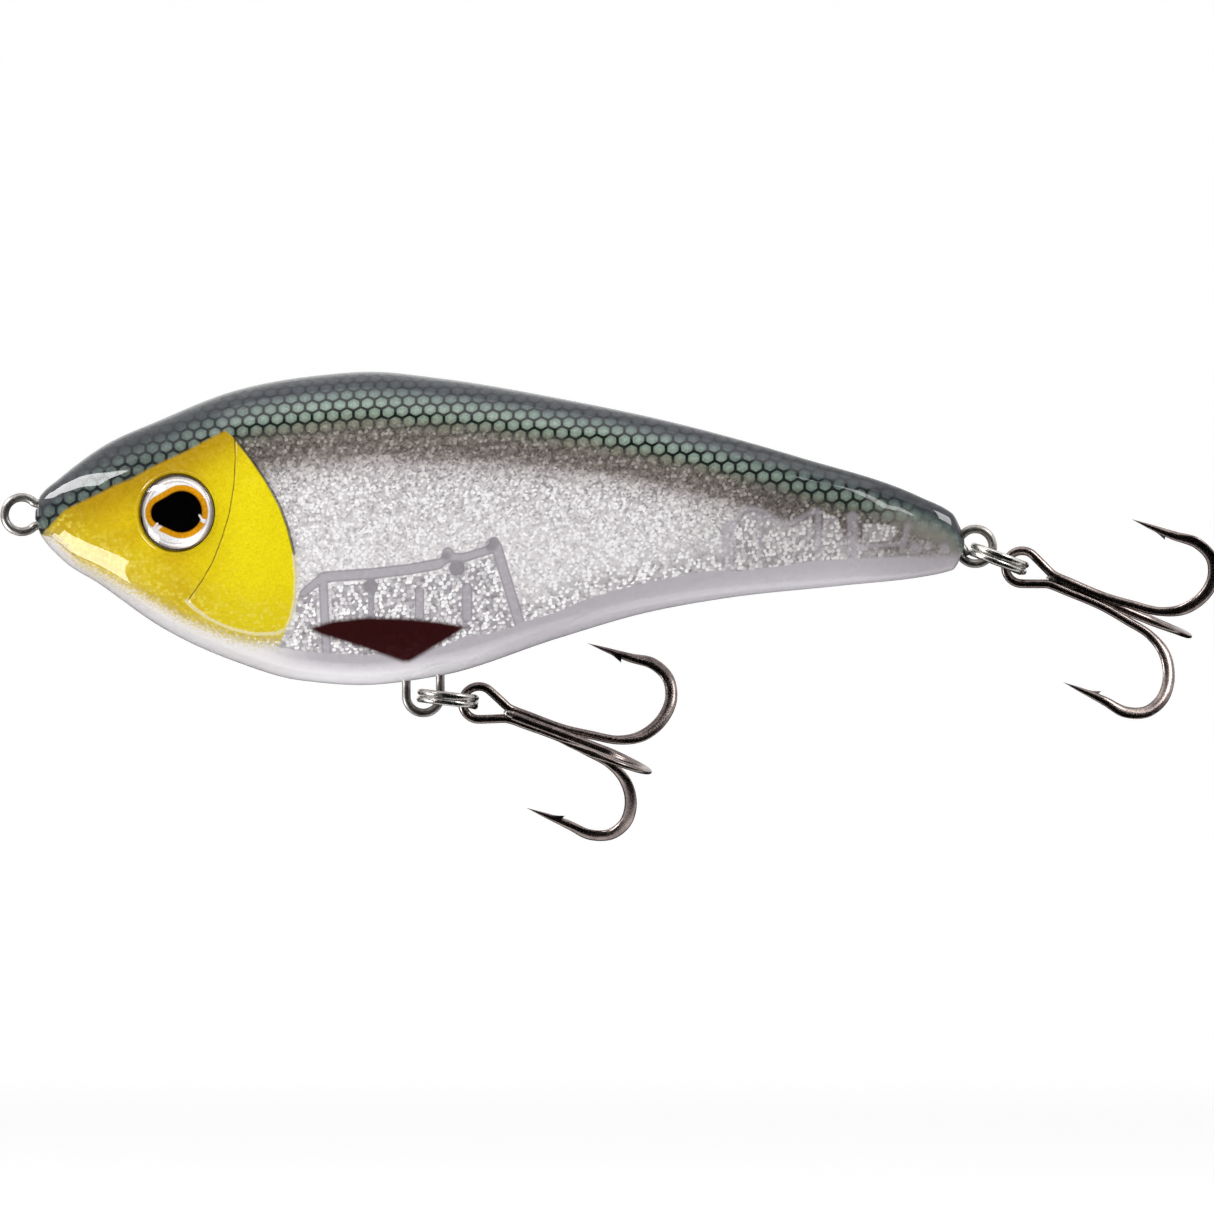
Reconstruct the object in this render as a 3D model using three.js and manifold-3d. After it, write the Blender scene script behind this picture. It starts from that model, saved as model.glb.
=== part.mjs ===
// Hard-bodied fishing lure with two treble hooks, about 120 mm long in the body.
// Two moulded shells close on the median plane over wire hangers, ballast and a rattle.
// Units are millimetres. +X runs towards the tail, +Z is up, and the fish's left side faces -Y.
// The origin is the centre of the line tie's eye.

import * as THREE from 'three';
import { mergeVertices } from 'three/addons/utils/BufferGeometryUtils.js';
import Module from 'manifold-3d';

const wasm = await Module();
wasm.setup();

// ---------------------------------------------------------------- driving dimensions

const joinGap = 0.3;              // clearance left between two pieces that meet
const halfGap = joinGap / 2;      // each shell stops this far from the median plane
const wallThickness = 1.8;        // moulded wall of the shells
const wireSides = 8;              // flats on the faceted round wires
const sectionPower = 2.3;         // 2 is an ellipse, higher is squarer

// Outline of the body seen from the side, as x and z.
const backOutline = [
  [1.96, 0.9], [2.35, 2.4], [4.9, 4.7], [10.1, 8.6], [17.8, 12.2], [28.2, 16.2], [38.5, 18.0],
  [45.0, 18.45], [53.9, 17.6], [69.4, 15.0], [84.9, 11.7], [100.4, 7.4], [115.9, 2.3],
  [120.0, 0.2], [121.4, -2.3],
];
const bellyOutline = [
  [1.96, -1.1], [2.35, -2.4], [4.9, -5.5], [10.1, -9.0], [17.8, -14.4], [28.2, -19.2],
  [36.0, -21.4], [43.6, -22.0], [53.9, -20.8], [69.4, -15.9], [80.0, -12.8], [90.1, -10.9],
  [105.6, -9.2], [115.9, -8.1], [120.0, -7.2], [121.4, -5.2],
];
// Half of the body's width, as x and y.
const halfWidths = [
  [1.96, 1.1], [2.35, 2.1], [4.9, 3.9], [7.5, 5.2], [12.7, 7.0], [20.0, 8.9], [28.0, 10.3],
  [36.0, 11.0], [43.0, 11.2], [52.0, 10.8], [62.0, 9.7], [72.0, 8.2], [82.0, 6.8],
  [92.0, 5.4], [102.0, 4.3], [112.0, 3.2], [118.0, 2.5], [120.4, 1.8], [121.4, 0.9],
];
const noseX = 1.96;
const tailX = 121.4;
const chamberFrontX = 9.5;        // the nose is solid in front of this
const chamberRearX = 105.8;       // the tail is solid behind this

// Raised gill cover: a crescent behind the cheek, as x and z.
const gillPlateOutline = [
  [27.59, 9.55], [29.84, 6.97], [31.75, 4.19], [33.48, 1.1], [34.51, -1.68], [35.37, -5.13],
  [35.62, -7.89], [35.54, -10.67], [35.02, -13.43], [34.34, -14.81], [33.13, -15.22],
  [30.37, -15.33], [27.24, -14.64], [24.48, -13.43], [22.42, -12.05], [21.54, -11.18],
  [23.45, -8.58], [24.83, -6.17], [26.05, -3.06], [26.99, 0.06], [27.59, 3.86], [27.76, 7.3],
];
const gillPlateRise = 0.4;

// Ribs moulded inside each shell: the line of each, as x and z, and its width.
const ribs = [
  { width: 1.3, line: [[39.6, -8.0], [50.0, -7.15], [54.0, -6.4], [57.3, -5.7], [61.2, -4.3]] },
  { width: 1.2, line: [[39.1, -7.9], [39.5, -19.8]] },
  { width: 1.0, line: [[45.2, -9.3], [45.2, -12.0]] },
  { width: 1.2, line: [[51.4, -9.9], [51.4, -15.5]] },
  { width: 1.3, line: [[57.5, -9.5], [57.5, -18.4]] },
  { width: 1.4, line: [[61.4, -4.2], [64.4, -14.5], [64.9, -16.4]] },
  { width: 1.5, line: [[91.1, -1.6], [91.1, -9.8]] },
  { width: 0.9, line: [[96.8, -1.9], [98.8, -1.4], [101.3, 0.0], [102.7, 0.4]] },
  { width: 0.9, line: [[95.2, -4.9], [95.2, -9.4]] },
  { width: 1.0, line: [[102.7, 0.4], [102.7, -8.6]] },
];
const cradleCentre = [94.17, -1.87];      // half-round rib over the tail weight
const cradleRadius = 2.6;
const cradleWidth = 0.8;
const tailWindow = [[108.2, -1.2], [112.8, -2.9], [112.0, -3.7], [108.2, -3.7]];
const tailWindowWall = 1.0;

const hangerBlock = { x: [47.0, 56.6], z: [-24, -14.8], depth: 4.2 };
const pinPlaces = [[14.5, 6.6], [45.2, -9.3], [56.2, -7.0], [75.0, 6.0], [104.6, -2.1]];
const pinRadius = 0.8;
const pinLength = 2.2;
const bossRadius = 1.7;

const eyeCentre = [20.2, 0.2];
const eyeRadius = 4.9;
const eyeSocketRadius = 5.15;
const eyeSocketDepth = 1.1;
const eyeDiscThickness = 0.4;
const eyeDomeHeight = 1.5;

const hangerWireRadius = 0.56;
const lineTieRadius = 2.22;               // to the middle of the wire, as on each hanger below
const bellyHanger = { centre: [51.8, -23.4], radius: 2.19 };
const tailHanger = { centre: [123.0, -4.1], radius: 2.24 };

const ringRadius = 3.58;                  // split rings, 8 mm across outside
const ringWireRadius = 0.41;
const ringPitch = 0.92;
const bellyRing = { centre: [54.95, -23.75], tiltDeg: 6.8 };
const tailRing = { centre: [126.0, -5.72], tiltDeg: 20.6 };

const hookWireRadius = 0.575;
const bellyHook = { eyeFront: [56.44, -23.36], tiltDeg: 20.3, doubleRolls: [234, 114], singleRoll: -4 };
const tailHook = { eyeFront: [126.54, -5.75], tiltDeg: 22.8, doubleRolls: [-62, 57], singleRoll: 178 };
const hookEyeRadius = 2.12;
const doubleShankOffset = 0.72;           // from the treble's axis to a wire of the double hook
const singleShankOffset = 0.97;
// One arm of a hook, as distance along the shank and distance out from it.
const hookArm = [[17.8, 1.25], [21.2, 1.9], [23.8, 3.5], [25.5, 6.4], [25.8, 9.8], [24.5, 12.5],
  [22.0, 13.7], [19.2, 13.4], [17.6, 13.3]];
const pointLength = 3.8;

// Lead slugs across the body: one behind the cheeks and one in each cell under the rail.
const headWeight = { centre: [31.0, -11.0], radius: 4.4, length: 10.5 };
const keelWeights = [
  { centre: [42.5, -15.6], radius: 2.3, length: 9 },
  { centre: [48.3, -12.0], radius: 2.1, length: 13 },
  { centre: [54.4, -12.2], radius: 2.0, length: 12 },
  { centre: [60.6, -12.4], radius: 1.9, length: 9 },
];
const tailWeightRadius = 1.9;
const rattle = { centre: [97.9, -4.6], radius: 1.7 };

// ---------------------------------------------------------------- curves and surfaces

// A smooth function through points, which never overshoots them (monotone cubic).
function smoothThrough(points) {
  const slopes = points.slice(1).map((p, i) => (p[1] - points[i][1]) / (p[0] - points[i][0]));
  const tangents = points.map((_, i) => {
    if (i === 0) return slopes[0];
    if (i === points.length - 1) return slopes[i - 1];
    const product = slopes[i - 1] * slopes[i];
    return product <= 0 ? 0 : (2 * product) / (slopes[i - 1] + slopes[i]);
  });
  return (x) => {
    const at = THREE.MathUtils.clamp(x, points[0][0], points.at(-1)[0]);
    let i = 0;
    while (i < points.length - 2 && at > points[i + 1][0]) i += 1;
    const step = points[i + 1][0] - points[i][0];
    const t = (at - points[i][0]) / step;
    const rise = points[i + 1][1] - points[i][1];
    const bulge = t * (1 - t) * ((tangents[i] * step - rise) * (1 - t) - (tangents[i + 1] * step - rise) * t);
    return points[i][1] + rise * t + bulge;
  };
}

const backZ = smoothThrough(backOutline);
const bellyZ = smoothThrough(bellyOutline);
const halfWidth = smoothThrough(halfWidths);

// Distance from the median plane to the body's side at a point of the side view.
function sideY(x, z) {
  const middle = (backZ(x) + bellyZ(x)) / 2;
  const reach = (backZ(x) - bellyZ(x)) / 2;
  const across = Math.abs((z - middle) / reach);
  return halfWidth(x) * Math.max(1 - across ** sectionPower, 0) ** (1 / sectionPower);
}

// The body as a closed loft of rounded sections, grown outwards by a margin.
function bodyLoft(margin = 0, fromX = noseX, toX = tailX, stations = 26, around = 24) {
  const positions = [];
  const index = [];
  for (let i = 0; i <= stations; i += 1) {
    const x = fromX + ((toX - fromX) * (1 - Math.cos((Math.PI * i) / stations))) / 2;
    const middle = (backZ(x) + bellyZ(x)) / 2;
    const reach = (backZ(x) - bellyZ(x)) / 2 + margin;
    const width = halfWidth(x) + margin;
    for (let j = 0; j < around; j += 1) {
      const turn = (2 * Math.PI * j) / around;
      const c = Math.cos(turn);
      const s = Math.sin(turn);
      positions.push(
        x,
        width * Math.sign(c) * Math.abs(c) ** (2 / sectionPower),
        middle + reach * Math.sign(s) * Math.abs(s) ** (2 / sectionPower),
      );
      if (i < stations) {
        const here = i * around + j;
        const next = i * around + ((j + 1) % around);
        index.push(here, next, next + around, here, next + around, here + around);
      }
    }
  }
  const lastRing = stations * around;
  for (let j = 1; j < around - 1; j += 1) {
    index.push(0, j + 1, j);
    index.push(lastRing, lastRing + j, lastRing + j + 1);
  }
  const geometry = new THREE.BufferGeometry();
  geometry.setAttribute('position', new THREE.Float32BufferAttribute(positions, 3));
  geometry.setIndex(index);
  return geometry;
}

// ---------------------------------------------------------------- solids

function toSolid(geometry) {
  geometry.deleteAttribute('normal');
  geometry.deleteAttribute('uv');
  const merged = mergeVertices(geometry, 1e-4);
  const mesh = new wasm.Mesh({
    numProp: 3,
    vertProperties: Float32Array.from(merged.attributes.position.array),
    triVerts: Uint32Array.from(merged.index.array),
  });
  return new wasm.Manifold(mesh);
}

function toGeometry(solid) {
  const mesh = solid.getMesh();
  const geometry = new THREE.BufferGeometry();
  geometry.setAttribute('position', new THREE.BufferAttribute(mesh.vertProperties, 3));
  geometry.setIndex(new THREE.BufferAttribute(mesh.triVerts, 1));
  geometry.computeVertexNormals();
  return geometry;
}

function boxSolid(low, high) {
  const size = high.map((value, i) => value - low[i]);
  const geometry = new THREE.BoxGeometry(...size);
  geometry.translate(...low.map((value, i) => value + size[i] / 2));
  return toSolid(geometry);
}

// A plate with an outline in x and z, between two values of y.
function plateSolid(outline, fromY, toY) {
  const shape = new THREE.Shape(outline.map(([x, z]) => new THREE.Vector2(x, z)));
  const geometry = new THREE.ExtrudeGeometry(shape, { depth: toY - fromY, bevelEnabled: false });
  geometry.rotateX(Math.PI / 2);
  geometry.translate(0, toY, 0);
  return toSolid(geometry);
}

// A round bar along Y.
function barGeometry(radius, length, segments = 20) {
  return new THREE.CylinderGeometry(radius, radius, length, segments);
}

function barSolid([x, z], radius, fromY, toY, segments = 16) {
  const geometry = barGeometry(radius, toY - fromY, segments);
  geometry.translate(x, (fromY + toY) / 2, z);
  return toSolid(geometry);
}

// A rib of constant width along a line in x and z, between two values of y.
function ribSolid(line, width, fromY, toY) {
  return line.slice(1).map(([x, z], i) => {
    const [fromX, fromZ] = line[i];
    const length = Math.hypot(x - fromX, z - fromZ);
    const geometry = new THREE.BoxGeometry(length + width * 0.5, toY - fromY, width);
    geometry.rotateY(-Math.atan2(z - fromZ, x - fromX));
    geometry.translate((x + fromX) / 2, (fromY + toY) / 2, (z + fromZ) / 2);
    return toSolid(geometry);
  }).reduce((sum, piece) => sum.add(piece));
}

// A round wire along a curve.
function wireGeometry(points, radius, steps, sides = wireSides) {
  const section = new THREE.Shape();
  for (let i = 0; i < sides; i += 1) {
    const turn = (2 * Math.PI * (i + 0.5)) / sides;
    const method = i === 0 ? 'moveTo' : 'lineTo';
    section[method](radius * Math.cos(turn), radius * Math.sin(turn));
  }
  const path = new THREE.CatmullRomCurve3(points, false, 'centripetal');
  return new THREE.ExtrudeGeometry(section, { steps, extrudePath: path, bevelEnabled: false });
}

function arcPoints([x, z], radius, fromDeg, toDeg, count) {
  return Array.from({ length: count + 1 }, (_, i) => {
    const turn = THREE.MathUtils.degToRad(fromDeg + ((toDeg - fromDeg) * i) / count);
    return [x + radius * Math.cos(turn), z + radius * Math.sin(turn)];
  });
}

// ---------------------------------------------------------------- wire hangers

// Each wire form starts and ends in a bent foot that locks it between the shells.
const lineTiePath = [
  [10.2, -2.7], [9.3, -1.0], [7.6, -0.72], [3.9, -0.72],
  ...arcPoints([0, 0], lineTieRadius, -30, -330, 16),
  [3.9, 0.72], [7.6, 0.72], [9.3, 1.0], [10.2, 2.7],
];
const bellyHangerPath = [
  [48.1, -16.2], [49.3, -16.6], [49.61, -17.8], [49.61, -21.2],
  ...arcPoints(bellyHanger.centre, bellyHanger.radius, -180, 0, 10),
  [53.99, -21.2], [53.99, -17.8], [54.3, -16.6], [55.5, -16.2],
];
const tailHangerPath = [
  [109.2, -6.0], [113.8, -5.3], [117.6, -4.85], [119.6, -4.85],
  ...arcPoints(tailHanger.centre, tailHanger.radius, -150, 150, 16),
  [119.6, -3.35], [117.6, -3.4], [115.4, -3.2], [114.6, -1.9],
];

function hangerWire(path, radius, steps) {
  return wireGeometry(path.map(([x, z]) => new THREE.Vector3(x, 0, z)), radius, steps);
}

// ---------------------------------------------------------------- shells

// Half of everything that is symmetric: side is -1 for the left shell and 1 for the right.
function moulded(side) {
  const between = (near, far) => [side * near, side * far].sort((a, b) => a - b);
  const [lowY, highY] = between(halfGap, 40);
  const halfSpace = boxSolid([-10, lowY, -40], [140, highY, 40]);
  const outer = toSolid(bodyLoft()).intersect(halfSpace);
  const gillPlate = plateSolid(gillPlateOutline, lowY, highY).intersect(toSolid(bodyLoft(gillPlateRise)));
  const chamber = toSolid(bodyLoft(-wallThickness, chamberFrontX, chamberRearX, 16, 20));
  const ribZone = toSolid(bodyLoft(-wallThickness / 2));

  const inside = ribs.map(({ line, width }) => ribSolid(line, width, lowY, highY));
  inside.push(ribSolid(arcPoints(cradleCentre, cradleRadius, 0, 180, 8), cradleWidth, lowY, highY));
  inside.push(...pinPlaces.map((place) => barSolid(place, bossRadius, lowY, highY)));
  inside.push(boxSolid(
    [hangerBlock.x[0], between(halfGap, hangerBlock.depth)[0], hangerBlock.z[0]],
    [hangerBlock.x[1], between(halfGap, hangerBlock.depth)[1], hangerBlock.z[1]],
  ));
  const ribbing = inside.reduce((sum, piece) => sum.add(piece)).intersect(ribZone);
  const window = plateSolid(tailWindow, ...between(-1, 40)).intersect(toSolid(bodyLoft(-tailWindowWall)));
  let shell = outer.add(gillPlate).subtract(chamber).add(ribbing).subtract(window);

  const channelRadius = (hangerWireRadius + joinGap) / Math.cos(Math.PI / wireSides);
  for (const path of [lineTiePath, bellyHangerPath, tailHangerPath]) {
    shell = shell.subtract(toSolid(hangerWire(path, channelRadius, 30)));
  }

  const socket = barGeometry(eyeSocketRadius, eyeSocketDepth + 4, 28);
  socket.translate(0, -side * (eyeSocketDepth - (eyeSocketDepth + 4) / 2), 0);
  socket.applyMatrix4(eyePlacement(side));
  return shell.subtract(toSolid(socket));
}

// Frame of one eye: its origin is on the body's surface and its Y axis points outwards on the
// right side, or inwards on the left side, so that both eyes share one orientation.
function eyePlacement(side) {
  const [x, z] = eyeCentre;
  const probe = 0.5;
  const slopeX = (sideY(x + probe, z) - sideY(x - probe, z)) / (2 * probe);
  const slopeZ = (sideY(x, z + probe) - sideY(x, z - probe)) / (2 * probe);
  const outward = new THREE.Vector3(-slopeX, side, -slopeZ).normalize();
  const turn = new THREE.Quaternion().setFromUnitVectors(new THREE.Vector3(0, side, 0), outward);
  const place = new THREE.Vector3(x, side * sideY(x, z), z);
  return new THREE.Matrix4().compose(place, turn, new THREE.Vector3(1, 1, 1));
}

// The left shell has the sockets of the locating pins and the right shell has the pins.
function leftShell() {
  const socketDepth = pinLength + 0.5;
  return pinPlaces.reduce(
    (shell, place) => shell.subtract(barSolid(place, pinRadius + joinGap, -halfGap - socketDepth, 1)),
    moulded(-1),
  );
}

function rightShell() {
  return pinPlaces.reduce(
    (shell, place) => shell.add(barSolid(place, pinRadius, -pinLength, halfGap + 1)),
    moulded(1),
  );
}

// ---------------------------------------------------------------- eyes

function eyeDisc(side) {
  const geometry = barGeometry(eyeRadius, eyeDiscThickness, 28);
  const lift = eyeDiscThickness / 2 - eyeSocketDepth + joinGap / 3;
  geometry.translate(0, side * lift, 0);
  return geometry.applyMatrix4(eyePlacement(side));
}

// A clear lens: flat underneath, with a short rim and a spherical top.
function eyeDome(side) {
  const rim = 0.35;
  const base = eyeDiscThickness - eyeSocketDepth + joinGap;
  const profile = [new THREE.Vector2(0, base), new THREE.Vector2(eyeRadius, base)];
  const steps = 5;
  for (let i = 0; i <= steps; i += 1) {
    const turn = (Math.PI / 2) * (i / steps);
    const height = base + rim + eyeDomeHeight * Math.sin(turn);
    profile.push(new THREE.Vector2(eyeRadius * Math.cos(turn), height));
  }
  profile[profile.length - 1].x = 0;
  const geometry = new THREE.LatheGeometry(profile, 28);
  if (side < 0) geometry.rotateX(Math.PI);
  return geometry.applyMatrix4(eyePlacement(side));
}

// ---------------------------------------------------------------- split rings

// Two turns of wire about the ring's axis, which lies in the median plane.
function splitRing({ centre, tiltDeg }) {
  const turns = 2;
  const count = 48;
  const points = Array.from({ length: count + 1 }, (_, i) => {
    const turn = 2 * Math.PI * turns * (i / count);
    const lift = ringPitch * turns * (i / count - 0.5) * 0.98;
    return new THREE.Vector3(ringRadius * Math.sin(turn), ringRadius * Math.cos(turn), lift);
  });
  const geometry = wireGeometry(points, ringWireRadius, 40, 6);
  geometry.rotateY(THREE.MathUtils.degToRad(tiltDeg));
  geometry.translate(centre[0], 0, centre[1]);
  return geometry;
}

// ---------------------------------------------------------------- treble hooks

// Local frame of a treble: x along the shank from the front of the eye, y across, z up.
function placeHook(geometry, { eyeFront, tiltDeg }) {
  geometry.rotateY(THREE.MathUtils.degToRad(tiltDeg));
  geometry.translate(eyeFront[0], 0, eyeFront[1]);
  return geometry;
}

// A point at a distance along the shank and out from it, where roll 0 faces the left side.
function hookPoint(along, out, rollDeg) {
  const roll = THREE.MathUtils.degToRad(rollDeg);
  return new THREE.Vector3(along, -out * Math.cos(roll), out * Math.sin(roll));
}

// A bent arm from the shank to where the ground point starts.
function armPoints(rollDeg, shankOffset) {
  const start = [9, 14].map((along) => hookPoint(along, shankOffset, rollDeg));
  return [...start, ...hookArm.map(([along, out]) => hookPoint(along, out, rollDeg))];
}

// The ground point: a cone that carries on from the end of an arm.
function pointSolid(rollDeg) {
  const [along, out] = hookArm.at(-1);
  const cone = new THREE.ConeGeometry(hookWireRadius * 1.02, pointLength, 8);
  cone.rotateZ(Math.PI / 2);
  cone.translate(along - pointLength / 2 + 0.1, 0, 0);
  const place = hookPoint(0, out, rollDeg);
  cone.translate(0, place.y, place.z);
  return toSolid(cone);
}

// One wire bent into an eye and two arms.
function doubleHook(hook) {
  const [lowRoll, highRoll] = hook.doubleRolls;
  const leg = (roll) => {
    const shank = hookPoint(0, doubleShankOffset, roll);
    const rise = Math.sign(shank.z);
    return [
      new THREE.Vector3(7.4, shank.y * 0.9, shank.z),
      new THREE.Vector3(6.0, shank.y * 0.6, rise * 0.85),
      ...arcPoints([hookEyeRadius + hookWireRadius, 0], hookEyeRadius, rise * 50, rise * 180, 6)
        .map(([along, up]) => new THREE.Vector3(along, 0, up)),
    ];
  };
  const lower = [...armPoints(lowRoll, doubleShankOffset).reverse(), ...leg(lowRoll)];
  const upper = [...leg(highRoll).reverse(), ...armPoints(highRoll, doubleShankOffset)].slice(1);
  const wire = toSolid(wireGeometry([...lower, ...upper], hookWireRadius, 84, 6));
  const whole = wire.add(pointSolid(lowRoll)).add(pointSolid(highRoll));
  return placeHook(toGeometry(whole), hook);
}

// The third arm, brazed to the shank of the double hook.
function singleHook(hook) {
  const points = armPoints(hook.singleRoll, singleShankOffset);
  points[2] = hookPoint(17.8, 1.4, hook.singleRoll);
  const wire = toSolid(wireGeometry([hookPoint(7.6, singleShankOffset, hook.singleRoll), ...points],
    hookWireRadius, 32, 6));
  return placeHook(toGeometry(wire.add(pointSolid(hook.singleRoll))), hook);
}

// ---------------------------------------------------------------- ballast and rattle

function slug({ centre, radius, length }) {
  const geometry = barGeometry(radius, length, 18);
  geometry.translate(centre[0], 0, centre[1]);
  return geometry;
}

function ball([x, z], radius) {
  const geometry = new THREE.SphereGeometry(radius, 12, 8);
  geometry.translate(x, 0, z);
  return geometry;
}

// ---------------------------------------------------------------- materials and assembly

const finishes = {
  shell: { color: 0xc9c6c6, roughness: 0.12, metalness: 0.0 },
  eyePrint: { color: 0xd98a2b, roughness: 0.35, metalness: 0.2 },
  lens: { color: 0xf4f6f8, roughness: 0.03, metalness: 0.0 },
  wire: { color: 0xb9b8b5, roughness: 0.25, metalness: 1.0 },
  ring: { color: 0xc8c8ca, roughness: 0.18, metalness: 1.0 },
  hook: { color: 0x4a4244, roughness: 0.3, metalness: 1.0 },
  lead: { color: 0x6f7276, roughness: 0.6, metalness: 1.0 },
  steel: { color: 0xbfc2c6, roughness: 0.15, metalness: 1.0 },
};

const lure = new THREE.Group();

function add(name, geometry, finish) {
  const mesh = new THREE.Mesh(geometry, new THREE.MeshStandardMaterial(finishes[finish]));
  mesh.name = name;
  lure.add(mesh);
}

add('left_shell', toGeometry(leftShell()), 'shell');
add('right_shell', toGeometry(rightShell()), 'shell');
for (const [name, side] of [['left', -1], ['right', 1]]) {
  add(`${name}_eye_disc`, eyeDisc(side), 'eyePrint');
  add(`${name}_eye_dome`, eyeDome(side), 'lens');
}
add('line_tie', hangerWire(lineTiePath, hangerWireRadius, 34), 'wire');
add('belly_hanger', hangerWire(bellyHangerPath, hangerWireRadius, 28), 'wire');
add('tail_hanger', hangerWire(tailHangerPath, hangerWireRadius, 34), 'wire');
add('belly_split_ring', splitRing(bellyRing), 'ring');
add('tail_split_ring', splitRing(tailRing), 'ring');
for (const [name, hook] of [['belly', bellyHook], ['tail', tailHook]]) {
  add(`${name}_double_hook`, doubleHook(hook), 'hook');
  add(`${name}_single_hook`, singleHook(hook), 'hook');
}
add('head_weight', slug(headWeight), 'lead');
keelWeights.forEach((weight, i) => add(`keel_weight_${i + 1}`, slug(weight), 'lead'));
add('tail_weight_ball', ball(cradleCentre, tailWeightRadius), 'steel');
add('rattle_ball', ball(rattle.centre, rattle.radius), 'steel');

export default lure;
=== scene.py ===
# Hard-bodied lure with two treble hooks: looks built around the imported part.
# Sizes in the dictionaries are millimetres, and x runs from the line tie to the tail.
import math

import bmesh
import bpy
import numpy as np
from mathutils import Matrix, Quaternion, Vector


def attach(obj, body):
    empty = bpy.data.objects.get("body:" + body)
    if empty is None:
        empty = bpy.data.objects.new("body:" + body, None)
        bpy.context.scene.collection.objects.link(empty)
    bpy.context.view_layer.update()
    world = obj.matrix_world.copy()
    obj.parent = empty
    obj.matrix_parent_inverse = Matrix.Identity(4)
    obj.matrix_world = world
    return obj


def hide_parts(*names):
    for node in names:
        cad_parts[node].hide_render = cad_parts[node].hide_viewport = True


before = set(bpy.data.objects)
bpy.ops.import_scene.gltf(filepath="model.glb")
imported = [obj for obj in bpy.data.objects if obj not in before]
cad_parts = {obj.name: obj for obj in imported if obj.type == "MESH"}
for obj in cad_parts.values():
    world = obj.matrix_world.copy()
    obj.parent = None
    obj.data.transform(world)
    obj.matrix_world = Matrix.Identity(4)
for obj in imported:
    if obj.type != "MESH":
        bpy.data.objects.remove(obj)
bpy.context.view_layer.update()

mm = 0.001


def hexColour(code):
    # sRGB hex to linear light: the low part is a straight line, the rest a 2.4 power
    srgb = np.array([int(code[i:i + 2], 16) for i in (1, 3, 5)]) / 255
    linear = np.where(srgb <= 0.04045, srgb / 12.92, ((srgb + 0.055) / 1.055) ** 2.4)
    return (*[float(v) for v in linear], 1.0)


def smoothThrough(points, at):
    # cubic between points: each slope comes from a parabola through three of them, held to one
    # and a half times the gentler side so it never overshoots
    px, py = np.array(points, float).T
    step, rise = np.diff(px), np.diff(py)
    slope = rise / step
    before, after = slope[:-1], slope[1:]
    inner = (step[1:] * before + step[:-1] * after) / (step[1:] + step[:-1])
    most = 1.5 * np.minimum(np.abs(before), np.abs(after))
    inner = np.where(before * after > 0, np.clip(inner, -most, most), 0)
    tangent = np.concatenate([slope[:1], inner, slope[-1:]])
    at = np.clip(at, px[0], px[-1])
    i = np.clip(np.searchsorted(px, at, side="left") - 1, 0, len(step) - 1)
    t = (at - px[i]) / step[i]
    bulge = (tangent[i] * step[i] - rise[i]) * (1 - t) - (tangent[i + 1] * step[i] - rise[i]) * t
    return py[i] + rise[i] * t + t * (1 - t) * bulge


def ease(value, start, end):
    # 0 before start, 1 after end, and an S curve between
    t = np.clip((value - start) / (end - start), 0, 1)
    return t * t * (3 - 2 * t)


def unit(vectors):
    return vectors / np.maximum(np.linalg.norm(vectors, axis=-1, keepdims=True), 1e-12)


def offLine(line, x, z):
    # distance from each point to the nearest stretch of an open line, in the side view
    ends = np.array(line, float)
    a, d = ends[:-1], np.diff(ends, axis=0)
    px, pz = x[..., None] - a[:, 0], z[..., None] - a[:, 1]
    t = np.clip((px * d[:, 0] + pz * d[:, 1]) / np.maximum((d ** 2).sum(1), 1e-12), 0, 1)
    return np.hypot(px - t * d[:, 0], pz - t * d[:, 1]).min(-1)


def insideBy(outline, x, z):
    # how far a point is inside a closed outline, negative outside: crossings of a ray give the sign
    ends = np.array(outline + outline[:1], float)
    away = offLine(ends, x, z)
    ax, az, bx, bz = *ends[:-1].T, *ends[1:].T
    xs, zs = x[..., None], z[..., None]
    above = (az > zs) != (bz > zs)
    crossing = ax + (zs - az) * (bx - ax) / np.where(bz == az, 1e-12, bz - az)
    odd = (above & (xs < crossing)).sum(-1) % 2 == 1
    return np.where(odd, away, -away)


def gridQuads(columns, rows, wrap):
    # quads of a grid numbered column by column; wrap joins the last row to the first
    i, j = np.meshgrid(np.arange(columns - 1), np.arange(rows if wrap else rows - 1), indexing="ij")
    k = (j + 1) % rows
    return np.stack([i * rows + j, (i + 1) * rows + j, (i + 1) * rows + k, i * rows + k], -1).reshape(-1, 4)


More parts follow.
